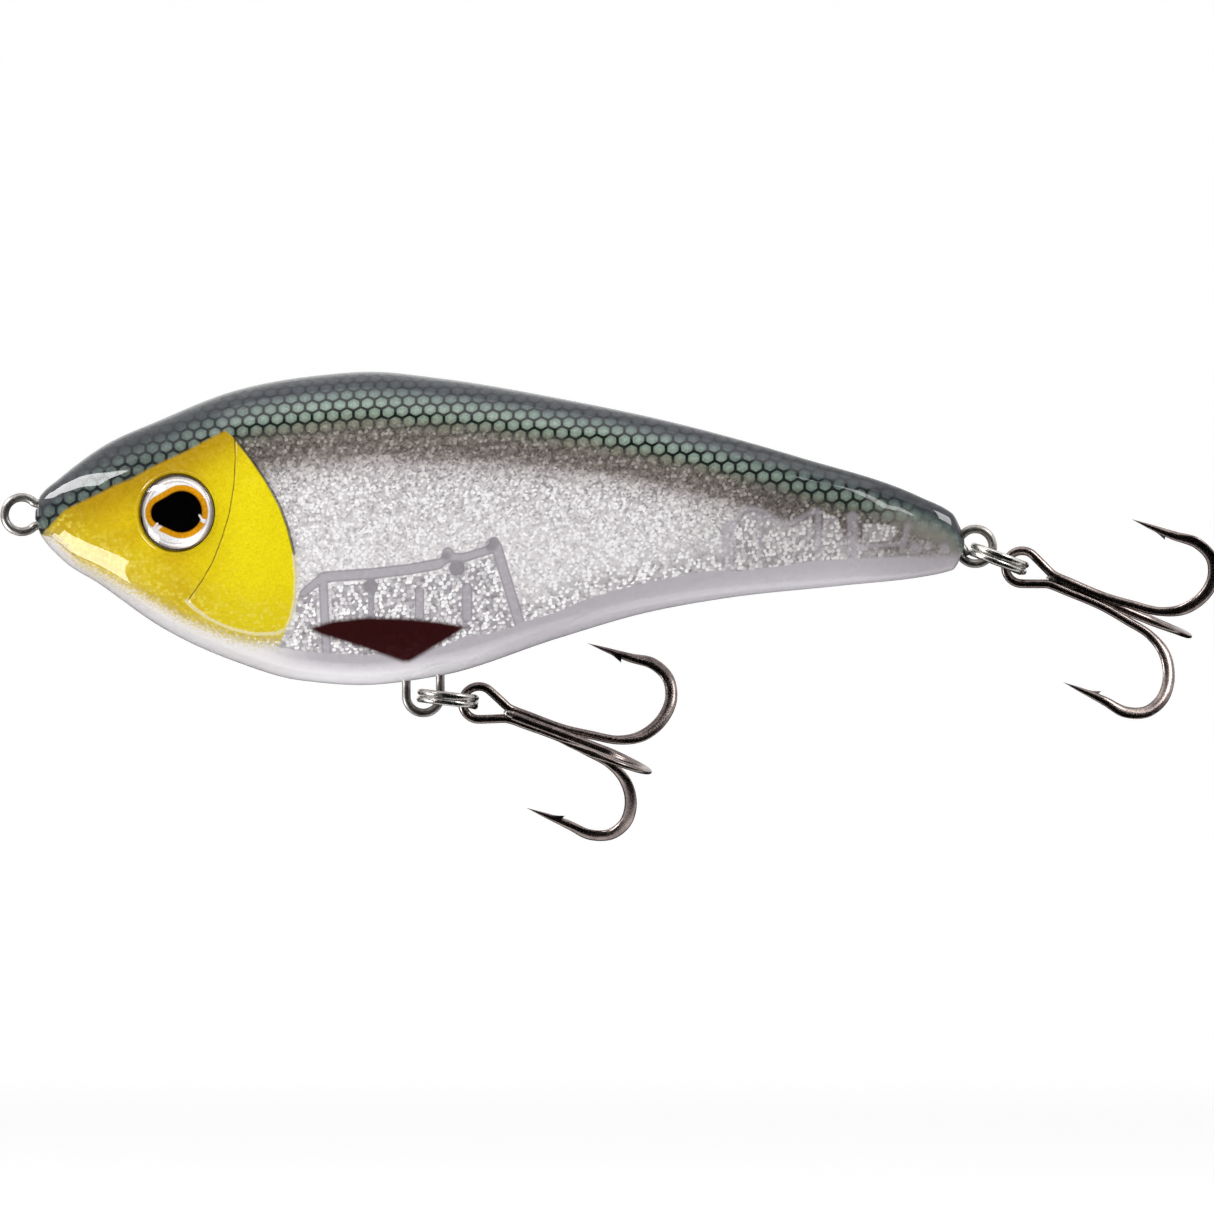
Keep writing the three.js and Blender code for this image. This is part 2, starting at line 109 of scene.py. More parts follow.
def makePiece(name, grids, material, body, replaces=(), fields=None, uv=None, crease=40):
    # grids is a list of (points, wrap) in mm, each closed by itself; fields and uv match the points
    offset, points, quads = 0, [], []
    for grid, wrap in grids:
        quads.append(gridQuads(grid.shape[0], grid.shape[1], wrap) + offset)
        points.append(grid.reshape(-1, 3))
        offset += grid.shape[0] * grid.shape[1]
    points, quads = np.concatenate(points), np.concatenate(quads)
    mesh = bpy.data.meshes.new(name)
    mesh.from_pydata((points * mm).tolist(), [], quads.tolist())
    for field, values in (fields or {}).items():
        layer = mesh.attributes.new(field, "FLOAT", "POINT")
        layer.data.foreach_set("value", values.reshape(-1).astype(np.float32))
    if uv is not None:
        corner = np.zeros(len(mesh.loops), np.int32)
        mesh.loops.foreach_get("vertex_index", corner)
        layer = mesh.uv_layers.new(name="girth")
        layer.data.foreach_set("uv", uv.reshape(-1, 2)[corner].astype(np.float32).reshape(-1))

    shape = bmesh.new()
    shape.from_mesh(mesh)
    bmesh.ops.remove_doubles(shape, verts=shape.verts, dist=2e-6)
    bmesh.ops.dissolve_degenerate(shape, edges=shape.edges, dist=1e-7)
    bmesh.ops.recalc_face_normals(shape, faces=shape.faces)
    openEdges = sum(1 for edge in shape.edges if len(edge.link_faces) != 2)
    shape.to_mesh(mesh)
    shape.free()
    mesh.polygons.foreach_set("use_smooth", np.ones(len(mesh.polygons), bool))
    mesh.set_sharp_from_angle(angle=math.radians(crease))
    mesh.materials.append(material)
    piece = bpy.data.objects.new(name, mesh)
    bpy.context.scene.collection.objects.link(piece)
    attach(piece, body)
    if replaces:
        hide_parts(*replaces)
    print("piece", name, len(mesh.polygons), "faces", openEdges, "open edges")


def addNode(tree, kind, links=None, stops=(), **settings):
    # one node with its settings; a socket takes another node's output, a hex colour or a plain value,
    # and stops are the places and colours of a ramp
    made = tree.nodes.new("ShaderNode" + kind)
    for key, value in settings.items():
        setattr(made, key, value)
    for socket, source in (links or {}).items():
        if isinstance(source, bpy.types.NodeSocket):
            tree.links.new(source, made.inputs[socket])
        else:
            made.inputs[socket].default_value = hexColour(source) if isinstance(source, str) else source
    if stops:
        band = made.color_ramp.elements
        while len(band) < len(stops):
            band.new(0.5)
        for element, (place, _) in zip(band, stops):
            element.position = place
        for element, (_, colour) in zip(band, stops):
            element.color = hexColour(colour)
    return made


def startMaterial(name):
    material = bpy.data.materials.new(name)
    material.use_nodes = True
    tree = material.node_tree
    tree.nodes.clear()
    return material, tree


def endMaterial(tree, sockets):
    shader = addNode(tree, "BsdfPrincipled", sockets)
    addNode(tree, "OutputMaterial", {"Surface": shader.outputs[0]})


def layCoat(tree, below, coat, field, start, end, most=1.0):
    # lays a colour over what is below it where a field of the surface passes from start to end
    if isinstance(field, str):
        field = addNode(tree, "Attribute", attribute_name=field).outputs["Fac"]
    cover = addNode(tree, "MapRange", {"Value": field, "From Min": start, "From Max": end, "To Max": most},
                    interpolation_type="SMOOTHSTEP")
    return addNode(tree, "Mix", {0: cover.outputs[0], 6: below, 7: coat}, data_type="RGBA").outputs[2]


def speckled(tree, fineness, dark, light):
    # two close tones in a fine noise, fineness to the metre
    place = addNode(tree, "TexCoord").outputs["Object"]
    noise = addNode(tree, "TexNoise", {"Vector": place, "Scale": fineness}).outputs[0]
    return addNode(tree, "ValToRGB", {"Fac": noise}, [(0.3, dark), (0.7, light)]).outputs[0]


body = {
    "back": [(1.96, 0.9), (2.35, 2.4), (4.9, 4.7), (10.1, 8.6), (17.8, 12.2), (28.2, 16.2), (38.5, 18.0),
             (45.0, 18.45), (53.9, 17.6), (69.4, 15.0), (84.9, 11.7), (100.4, 7.4), (115.9, 2.3),
             (120.0, 0.2), (121.4, -2.3)],
    "belly": [(1.96, -1.1), (2.35, -2.4), (4.9, -5.5), (10.1, -9.0), (17.8, -14.4), (28.2, -19.2),
              (36.0, -21.4), (43.6, -22.0), (53.9, -20.8), (69.4, -15.9), (80.0, -12.8), (90.1, -10.9),
              (105.6, -9.2), (115.9, -8.1), (120.0, -7.2), (121.4, -5.2)],
    "halfWidth": [(1.96, 1.1), (2.35, 2.1), (4.9, 3.9), (7.5, 5.2), (12.7, 7.0), (20.0, 8.9), (28.0, 10.3),
                  (36.0, 11.0), (43.0, 11.2), (52.0, 10.8), (62.0, 9.7), (72.0, 8.2), (82.0, 6.8),
                  (92.0, 5.4), (102.0, 4.3), (112.0, 3.2), (118.0, 2.5), (120.4, 1.8), (121.4, 0.9)],
    "sectionPower": 2.3,     # 2 is an ellipse, higher is squarer
    "ends": (1.96, 121.4),
    "chamber": (9.5, 105.8),
    "wall": 1.8,
    "seamGap": 0.03,         # the halves are welded, so only a hair line is left
    "caps": (0.25, 0.22),    # how far the rounded nose and tail reach past the ends
    "columns": 430, "rows": 190, "insideRows": 26,
    "hairLine": (0.06, 0.14),        # depth and width of the line where the halves meet
    "mouthDepth": 0.55,      # of the mouths where the wires come out
}


def section(x):
    back, belly = smoothThrough(body["back"], x), smoothThrough(body["belly"], x)
    return (back + belly) / 2, (back - belly) / 2, smoothThrough(body["halfWidth"], x)


def sideY(x, z):
    # half width at a height: width times (1 - |height|^p)^(1/p), height being -1 at the belly, 1 at the back
    middle, reach, width = section(x)
    across = np.abs((z - middle) / reach)
    return width * np.maximum(1 - across ** body["sectionPower"], 0) ** (1 / body["sectionPower"])


def onSide(side, x, z, proud=0.0):
    # point of the body's side at x and z, moved out along the surface normal
    probe = 0.02
    slopeX = (sideY(x + probe, z) - sideY(x - probe, z)) / (2 * probe)
    slopeZ = (sideY(x, z + probe) - sideY(x, z - probe)) / (2 * probe)
    normal = unit(np.stack([-slopeX, np.full_like(x, side), -slopeZ], -1))
    return np.stack([x, side * sideY(x, z), z], -1) + normal * np.asarray(proud)[..., None]


eye = {
    "centre": (20.2, 0.2), "radius": 4.9, "socketRadius": 5.05, "socketDepth": 1.15,
    "discDepth": 0.62, "discThick": 0.38, "domeBase": -0.66, "domeRim": 0.64, "domeHeight": 1.5,
    # outline of the painted lip round the socket: radius, and height over the body's side
    "lip": [(5.62, -0.12), (5.5, 0.0), (5.38, 0.05), (5.25, 0.06), (5.12, 0.02), (5.05, -0.08), (5.04, -1.2),
            (5.62, -1.2)],
    # middles and radii of the pupil's two circles
    "pupilFront": ((-1.75, 0.0), 1.5), "pupilRear": ((0.6, 0.1), 2.55),
    # gaps in the gold ring where the painted highlights cross it, as degrees and half width, and the fine
    # printed line outside it
    "glintGaps": ((-17, 0.16), (-141, 0.18)), "breakRadius": 3.4, "linePlace": 3.78, "lineHalf": 0.05,
    # painted highlights: pale ticks over the gold ring where the dome reflects the lamps; half width, then its
    # line
    "glintTicks": [(0.16, [(-3.3, -2.35), (-2.45, -1.35)]), (0.1, [(-2.85, -2.65), (-2.2, -1.9)]),
              (0.14, [(3.3, -1.15), (2.85, -0.35)])],
}


def eyeFrame(side):
    # middle of the eye on the surface, the way out of it, and two directions across it
    x, z = (np.array(v) for v in eye["centre"])
    probe = 0.5
    slopeX = (sideY(x + probe, z) - sideY(x - probe, z)) / (2 * probe)
    slopeZ = (sideY(x, z + probe) - sideY(x, z - probe)) / (2 * probe)
    out = unit(np.array([-slopeX, side, -slopeZ], float))
    along = unit(np.array([1.0, 0, 0]) - out * out[0])
    return np.array([x, side * sideY(x, z), z], float), out, along, np.cross(out, along) * -side


paint = {
    "yellowTop": [(1.9, -3.2), (3.64, -1.57), (5.61, 0.53), (8.11, 1.72), (10.35, 2.77), (12.06, 3.69),
                  (14.31, 4.54), (16.71, 5.92), (19.12, 7.08), (21.43, 8.11), (23.72, 9.38), (26.39, 10.75),
                  (29, 12.2)],
    "yellowLow": [(1.9, -2.3), (4.1, -3.0), (7.5, -6.4), (11.7, -8.6), (16.5, -11.2), (21.4, -13.9),
                  (26.6, -15.9), (30.0, -16.6), (34.2, -16.5), (36.0, -16.0)],
    "fin": [(37.05, -14.64), (40.43, -13.65), (44.78, -13.21), (49.69, -13.35), (53.66, -13.75),
            (57.70, -14.43), (54.84, -16.22), (50.10, -19.01), (49.30, -19.03), (46.94, -18.19),
            (43.78, -17.11), (38.45, -15.42)],
    "glitterLow": [(2, -2.4), (4.1, -3.0), (7.5, -6.0), (11.7, -8.2), (16.5, -10.6), (21.4, -13.4),
                   (26.6, -15.3), (30, -16.3), (33.8, -17.2), (38.5, -17.8), (44.4, -18.1), (54.5, -17.0),
                   (57.4, -15.6), (59.4, -15.6), (63.1, -14.6), (64.5, -13.9), (68.7, -12.7), (72.5, -11.0),
                   (77.3, -9.6), (82.2, -8.4), (87.7, -7.4), (90.1, -7.2), (91.9, -7.4), (99.0, -6.5),
                   (102.2, -6.0), (105.9, -5.8), (122, -5.0)],
    # the back's bands are thinner towards the tail, and the edge of the belly softens there
    "bandStretch": ((0, 48.8, 74.6, 90, 122), (1.0, 1.0, 1.29, 1.34, 1.35)),
    "tailSoftness": ((106, 117), (1, 0.14)),
}

gill = {
    "front": [(27.65, 9.75), (27.76, 7.3), (27.59, 3.86), (26.99, 0.06), (26.05, -3.06), (24.83, -6.17),
              (23.45, -8.58), (21.54, -11.18)],
    "rear": [(27.65, 9.75), (29.84, 6.97), (31.75, 4.19), (33.48, 1.1), (34.51, -1.68), (35.37, -5.13),
             (35.62, -7.89), (35.54, -10.67), (35.02, -13.2), (34.3, -14.7), (33.13, -15.22), (30.37, -15.33),
             (27.24, -14.64), (24.48, -13.43), (22.42, -12.05), (21.54, -11.18)],
    "rise": 0.42, "frontRise": 0.1, "edgeRadius": 0.28, "depth": 0.5, "columns": 260, "rows": 60,
}

# ribs seen through the clear side
ribs = {
    "lines": [       # each is a line and half its width
        ([(39.6, -8.05), (45.3, -7.65), (49.9, -7.12), (53.9, -6.4)], 0.72),
        ([(53.9, -6.4), (55.2, -5.5), (57.1, -5.6), (61.1, -4.35)], 0.6),
        ([(61.3, -4.2), (64.3, -14.2)], 0.72),
        ([(39.0, -8.0), (39.45, -17.7)], 0.6),
        ([(38.8, -8.2), (36.5, -10.2)], 0.55),
        ([(45.2, -9.8), (45.2, -13.0)], 0.4),
        ([(51.4, -9.9), (51.4, -13.2)], 0.62),
        ([(57.5, -9.5), (57.5, -13.2)], 0.7),
        ([(91.1, -1.6), (91.1, -7.7)], 0.8),
        ([(91.6, -1.9), (92.3, -0.1), (93.4, 0.65), (94.6, 0.75), (95.8, 0.3), (96.8, -0.8), (98.8, -1.4),
          (101.3, 0.0), (102.7, 0.5)], 0.42),
        ([(95.2, 0.0), (95.2, -6.9)], 0.36),
        ([(102.7, 0.2), (102.7, -5.9)], 0.5),
        ([(107.1, -0.3), (107.1, -6.0)], 0.8),
        ([(114.2, -1.6), (113.5, -4.8)], 0.45),
        ([(107.5, -4.2), (113.0, -3.8)], 0.42),
        ([(105.9, -6.9), (107.6, -7.2)], 0.5),
    ],
    # round bosses: middle and radius
    "bosses": [(55.04, -4.97, 0.75), (60.97, -3.57, 0.65), (56.23, -6.94, 1.0), (45.18, -9.3, 0.9),
               (107.3, -2.1, 0.85), (115.3, -4.4, 0.9), (116.9, -4.1, 0.65), (119.0, -4.4, 0.8)],
    "dark": [(56.23, -6.94, 1.0), (60.6, -3.9, 0.9), (45.18, -9.3, 0.8), (54.9, -5.4, 0.6)],
    "darkLines": [[(108.7, -6.1), (111.0, -5.75), (113.8, -5.2)],
                  [(92.2, -0.9), (93.3, 0.2), (94.6, 0.4), (95.9, -0.2)],
                  [(114.5, -4.0), (115.0, -3.55), (115.7, -3.55), (116.1, -4.0)],
                  [(118.3, -4.0), (118.8, -3.6), (119.4, -3.65), (119.8, -4.1)],
                  [(114.4, -0.9), (113.7, -4.6)]],
    "darkLineHalf": 0.2,
    "cells": [       # outlines of the hollow cells between the ribs
        [(35.6, -9.8), (38.2, -9.6), (38.4, -17.9), (35.2, -17.6)],
        [(40.1, -9.2), (49.7, -8.1), (55.2, -7.7), (57.8, -6.4), (60.9, -5.3), (63.5, -14.6), (59.4, -15.8),
         (54.5, -17.2), (44.4, -18.3), (40.2, -18.0)],
        [(92.1, -7.5), (92.1, -2.0), (92.8, -0.4), (94.2, 0.4), (95.9, -0.2), (97.3, -1.5), (98.8, -2.0),
         (100.3, -1.1), (101.9, -0.3), (102.2, -6.1), (99.0, -6.6)],
        [(103.3, 0.3), (105.2, -0.4), (105.9, -2.4), (105.9, -5.9), (103.3, -6.1)],
        [(108.4, -1.1), (112.9, -1.5), (112.3, -3.4), (108.4, -3.7)],
    ],
}


def paintFields(x, z):
    # distances in mm, from which the paint is mixed: each is positive inside its own area, or below the
    # ridge, or above the belly
    shape = x.shape
    x, z = x.reshape(-1), z.reshape(-1)
    middle, reach, _ = section(x)
    # the yellow's rear border is closed round the outside of the head
    outside = [(33.4, -17.0), (33.0, -22), (-5, -22), (-5, 20), (26.39, 20)]
    fields = {
        "fromBack": (middle + reach - z) * np.interp(x, *paint["bandStretch"]),
        "fromBelly": z - (middle - reach),
        "yellowTop": np.interp(x, *np.array(paint["yellowTop"]).T) - z,
        "yellowLow": z - np.interp(x, *np.array(paint["yellowLow"]).T),
        "yellowRear": insideBy([(26.39, 10.75)] + gill["rear"][:10] + outside, x, z),
        "gillFront": -offLine(gill["front"], x, z),
        "gillEdge": -offLine(gill["rear"][:6], x, z),
        "gillFoot": -offLine(gill["rear"][5:], x, z),
        "fin": insideBy(paint["fin"], x, z),
        "glitterLow": ((z - np.interp(x, *np.array(paint["glitterLow"]).T))
                       * np.interp(x, *paint["tailSoftness"])),
        "rib": np.max([half - offLine(line, x, z) for line, half in ribs["lines"]]
                      + [radius - np.hypot(x - cx, z - cz) for cx, cz, radius in ribs["bosses"]], axis=0),
        "darkBoss": np.max([radius - np.hypot(x - cx, z - cz) for cx, cz, radius in ribs["dark"]]
                           + [ribs["darkLineHalf"] - offLine(line, x, z) for line in ribs["darkLines"]], axis=0),
        "cell": np.max([insideBy(outline, x, z) for outline in ribs["cells"]], axis=0),
        "along": x,
    }
    return {key: np.clip(value, -60, 130).reshape(shape) for key, value in fields.items()}


def girthMap(x, z):
    # x along, and the arc from the middle of the side measured over the section, less a slow
    # drift that keeps the rows of scales straight as they climb 3.5 degrees towards the tail
    p = body["sectionPower"]
    turn = np.linspace(-np.pi / 2, np.pi / 2, 241)
    c, s = np.cos(turn), np.sin(turn)
    unitY, unitZ = np.abs(c) ** (2 / p), np.sign(s) * np.abs(s) ** (2 / p)
    stations = np.linspace(body["ends"][0], body["ends"][1], 240)
    middle, reach, width = section(stations)
    dy, dz = np.diff(unitY)[None] * width[:, None], np.diff(unitZ)[None] * reach[:, None]
    arcs = np.concatenate([np.zeros((240, 1)), np.cumsum(np.hypot(dy, dz), 1)], 1)
    arcs -= arcs[:, 120:121]
    heights = np.linspace(-1, 1, 161)
    table = np.array([np.interp(heights, unitZ, row) for row in arcs])       # one row for each station

    def arcAt(xs, zs):
        mid, rise, _ = section(xs)
        h = (np.clip((zs - mid) / rise, -1, 1) + 1) / 2 * 160
        k = (np.clip(xs, stations[0], stations[-1]) - stations[0]) / (stations[-1] - stations[0]) * 239
        i, j = np.minimum(k.astype(int), 238), np.minimum(h.astype(int), 159)
        fx, fz = k - i, h - j
        low = table[i, j] * (1 - fz) + table[i, j + 1] * fz
        high = table[i + 1, j] * (1 - fz) + table[i + 1, j + 1] * fz
        return low * (1 - fx) + high * fx

    line = np.linspace(2.5, 121, 400)
    onBand = section(line)[0] + section(line)[1] - 4.5
    tilt = math.tan(math.radians(3.5))
    drift = (arcAt(line + 0.25, onBand + 0.25 * tilt) - arcAt(line - 0.25, onBand - 0.25 * tilt)) / 0.5
    drift = np.concatenate([[0], np.cumsum((drift[1:] + drift[:-1]) / 2 * np.diff(line))])
    anchorX, anchorZ = np.array(41.14), np.array(14.05)
    shift = arcAt(anchorX, anchorZ) - np.interp(anchorX, line, drift)
    return np.stack([x - anchorX, arcAt(x, z) - np.interp(x, line, drift) - shift], -1)


scales = {"pitch": 1.785, "roundness": 0.35, "edge": (0.65, 0.79), "dishShade": (1.12, 0.78)}     # pitch in mm
flakes = {"coarse": 0.5, "fine": 0.28, "lean": 0.35}     # sizes across in mm, and how far they tilt
spray = {
    "depth": 16.0,      # mm below the ridge that the two ramps of the back run over
    "droplet": 2.8,     # paint droplets to the mm: drawn this coarse so that they show
    "cloud": 0.35,      # uneven passes of the gun, to the mm
    "scaleStops": [(0.0, "#44474e"), (0.07, "#3d4149"), (0.13, "#444c53"), (0.19, "#70807b"), (0.27, "#8b9e93"),
                   (0.345, "#869687"), (0.41, "#7c7d6f"), (0.5, "#7a736c"), (0.6, "#78706a"), (0.68, "#8a827e"),
                   (0.76, "#aca5a4"), (0.88, "#bcb6b7"), (1.0, "#bdb8ba")],
    "gapStops": [(0.0, "#2b2e34"), (0.1, "#1b1f24"), (0.19, "#152120"), (0.28, "#0a130f"), (0.36, "#101a15"),
                 (0.43, "#3e3f38"), (0.5, "#56524c"), (0.56, "#625b56"), (0.64, "#736b66")],
    "fineStops": [(0.0, "#928d90"), (0.15, "#b1acaf"), (0.45, "#c9c4c6"), (0.8, "#d6d2d3"), (0.92, "#eceaea"),
                  (1.0, "#ffffff")],
    "coarseStops": [(0.0, "#8f898d"), (0.22, "#b6b1b4"), (0.5, "#d8d5d6"), (0.75, "#f1efef"), (1.0, "#ffffff")],
    "yellowStops": [(0.3, "#d0ad06"), (0.5, "#d9bb06"), (0.7, "#e0c408")],
}


def scaleNetting(tree, girth):
    # two square lattices of centres, half a step apart, make a honeycomb: the nearer centre is taken, and
    # the farthest reach towards the three pairs of sides draws a hexagon, mixed with a circle to round it
    pitch = scales["pitch"]
    spread = (pitch, pitch * 3 ** 0.5, 10.0)
    half, minus = tuple(v / 2 for v in spread), tuple(-v / 2 for v in spread)
    centres = []
    for shift in ((0, 0, 0), half):
        moved = addNode(tree, "VectorMath", {0: girth, 1: shift}, operation="SUBTRACT").outputs[0]
        local = addNode(tree, "VectorMath", {0: moved, 1: half, 2: minus}, operation="WRAP").outputs[0]
        flat = addNode(tree, "VectorMath", {0: local, 1: (1, 1, 0)}, operation="MULTIPLY").outputs[0]
        centres.append((flat, addNode(tree, "VectorMath", {0: flat}, operation="LENGTH").outputs["Value"]))
    (first, firstAway), (second, secondAway) = centres
    nearer = addNode(tree, "Math", {0: firstAway, 1: secondAway}, operation="LESS_THAN").outputs[0]
    local = addNode(tree, "Mix", {0: nearer, 4: second, 5: first}, data_type="VECTOR").outputs[1]
    folded = addNode(tree, "VectorMath", {0: local}, operation="ABSOLUTE").outputs[0]
    slant = addNode(tree, "VectorMath", {0: folded, 1: (0.5, 0.866, 0)},
                    operation="DOT_PRODUCT").outputs["Value"]
    across = addNode(tree, "SeparateXYZ", {0: folded}).outputs[0]
    hexAway = addNode(tree, "Math", {0: slant, 1: across}, operation="MAXIMUM").outputs[0]
    roundAway = addNode(tree, "VectorMath", {0: local}, operation="LENGTH").outputs["Value"]
    return addNode(tree, "Mix", {0: scales["roundness"], 2: hexAway, 3: roundAway}).outputs[0]


def backPaint(tree, girth, along, ramped, grain):
    # slate on top, pale green scales below it, smoked brown at the tail; each scale carries painted shading,
    # lighter in its middle and darker at its rim, as if dished
    netting = scaleNetting(tree, girth)
    grainLift = addNode(tree, "MapRange", {"Value": grain, "From Min": 0.3, "From Max": 0.7, "To Min": 0.66,
                                           "To Max": 1.34}).outputs[0]
    start, end = scales["edge"]
    netMask = addNode(tree, "MapRange", {"Value": netting, "From Min": start, "From Max": end},
                      interpolation_type="SMOOTHSTEP").outputs[0]
    netFade = addNode(tree, "MapRange", {"Value": ramped, "From Min": 0.62, "From Max": 0.4}).outputs[0]
    tailFade = addNode(tree, "MapRange", {"Value": along, "From Min": 118.0, "From Max": 109.0, "To Min": 0.15},
                       interpolation_type="SMOOTHSTEP").outputs[0]
    netCover = addNode(tree, "Math", {0: netMask, 1: netFade}, operation="MULTIPLY").outputs[0]
    netCover = addNode(tree, "Math", {0: netCover, 1: tailFade}, operation="MULTIPLY").outputs[0]
    # painted shading: each scale lighter in its middle and darker at its rim, as if dished
    dishShaded = addNode(tree, "MapRange", {"Value": netting, "From Min": 0.15, "From Max": 0.66,
                                        "To Min": scales["dishShade"][0], "To Max": scales["dishShade"][1]}).outputs[0]
    cells = addNode(tree, "ValToRGB", {"Fac": ramped}, spray["scaleStops"]).outputs[0]
    cells = addNode(tree, "VectorMath", {0: cells, 1: dishShaded}, operation="MULTIPLY").outputs[0]
    gaps = addNode(tree, "ValToRGB", {"Fac": ramped}, spray["gapStops"]).outputs[0]
    back = addNode(tree, "Mix", {0: netCover, 6: cells, 7: gaps}, data_type="RGBA").outputs[2]
    back = addNode(tree, "VectorMath", {0: back, 1: grainLift}, operation="MULTIPLY").outputs[0]
    back = layCoat(tree, back, "#20252a", along, 40.0, 14.0, most=0.6)
    back = layCoat(tree, back, "#2b2e2d", along, 84.0, 104.0, most=0.35)
    underTop = addNode(tree, "MapRange", {"Value": ramped, "From Min": 0.16, "From Max": 0.36},
                       interpolation_type="SMOOTHSTEP").outputs[0]
    tailward = addNode(tree, "MapRange", {"Value": along, "From Min": 107.0, "From Max": 117.0, "To Max": 0.75},
                       interpolation_type="SMOOTHSTEP").outputs[0]
    smoked = addNode(tree, "Math", {0: underTop, 1: tailward}, operation="MULTIPLY").outputs[0]
    return addNode(tree, "Mix", {0: smoked, 6: back, 7: "#858079"}, data_type="RGBA").outputs[2]


def yellowPaint(tree, girth, along, grain, spark):
    # warm yellow, limier on the gill cover and browner at its upper border; gives the paint and the
    # distance from its lower border, broken up by droplets
    warm = addNode(tree, "TexNoise", {"Vector": girth, "Scale": 0.22, "Detail": 3.0}).outputs[0]
    warm = addNode(tree, "ValToRGB", {"Fac": warm}, spray["yellowStops"]).outputs[0]
    lime = layCoat(tree, warm, "#ead80a", along, 20.0, 30.0, most=0.9)
    lime = layCoat(tree, lime, "#c9a90a", "yellowTop", 10.0, 3.0, most=0.4)
    lime = layCoat(tree, lime, "#ab8405", "yellowTop", 5.5, 0.3, most=0.85)
    speckle = addNode(tree, "MapRange", {"Value": grain, "From Min": 0.3, "From Max": 0.7, "To Min": 0.88,
                                         "To Max": 1.12}).outputs[0]
    yellow = addNode(tree, "VectorMath", {0: lime, 1: speckle}, operation="MULTIPLY").outputs[0]
    scatter = addNode(tree, "MapRange", {"Value": grain, "From Min": 0.35, "From Max": 0.65, "To Min": -0.9,
                                         "To Max": 0.9}).outputs[0]
    yellowLow = addNode(tree, "Attribute", attribute_name="yellowLow").outputs["Fac"]
    spatter = addNode(tree, "Math", {0: scatter, 1: yellowLow}, operation="ADD").outputs[0]
    glitterYellow = layCoat(tree, yellow, "#f4e65c", spark, 0.5, 0.75, most=0.6)
    yellow = layCoat(tree, yellow, glitterYellow, "yellowLow", 7.5, 2.5)
    yellow = layCoat(tree, yellow, "#bda51a", "yellowLow", 9.0, 3.0, most=0.35)
    return layCoat(tree, yellow, "#c2ab3c", spatter, 2.6, 0.4, most=0.7), spatter


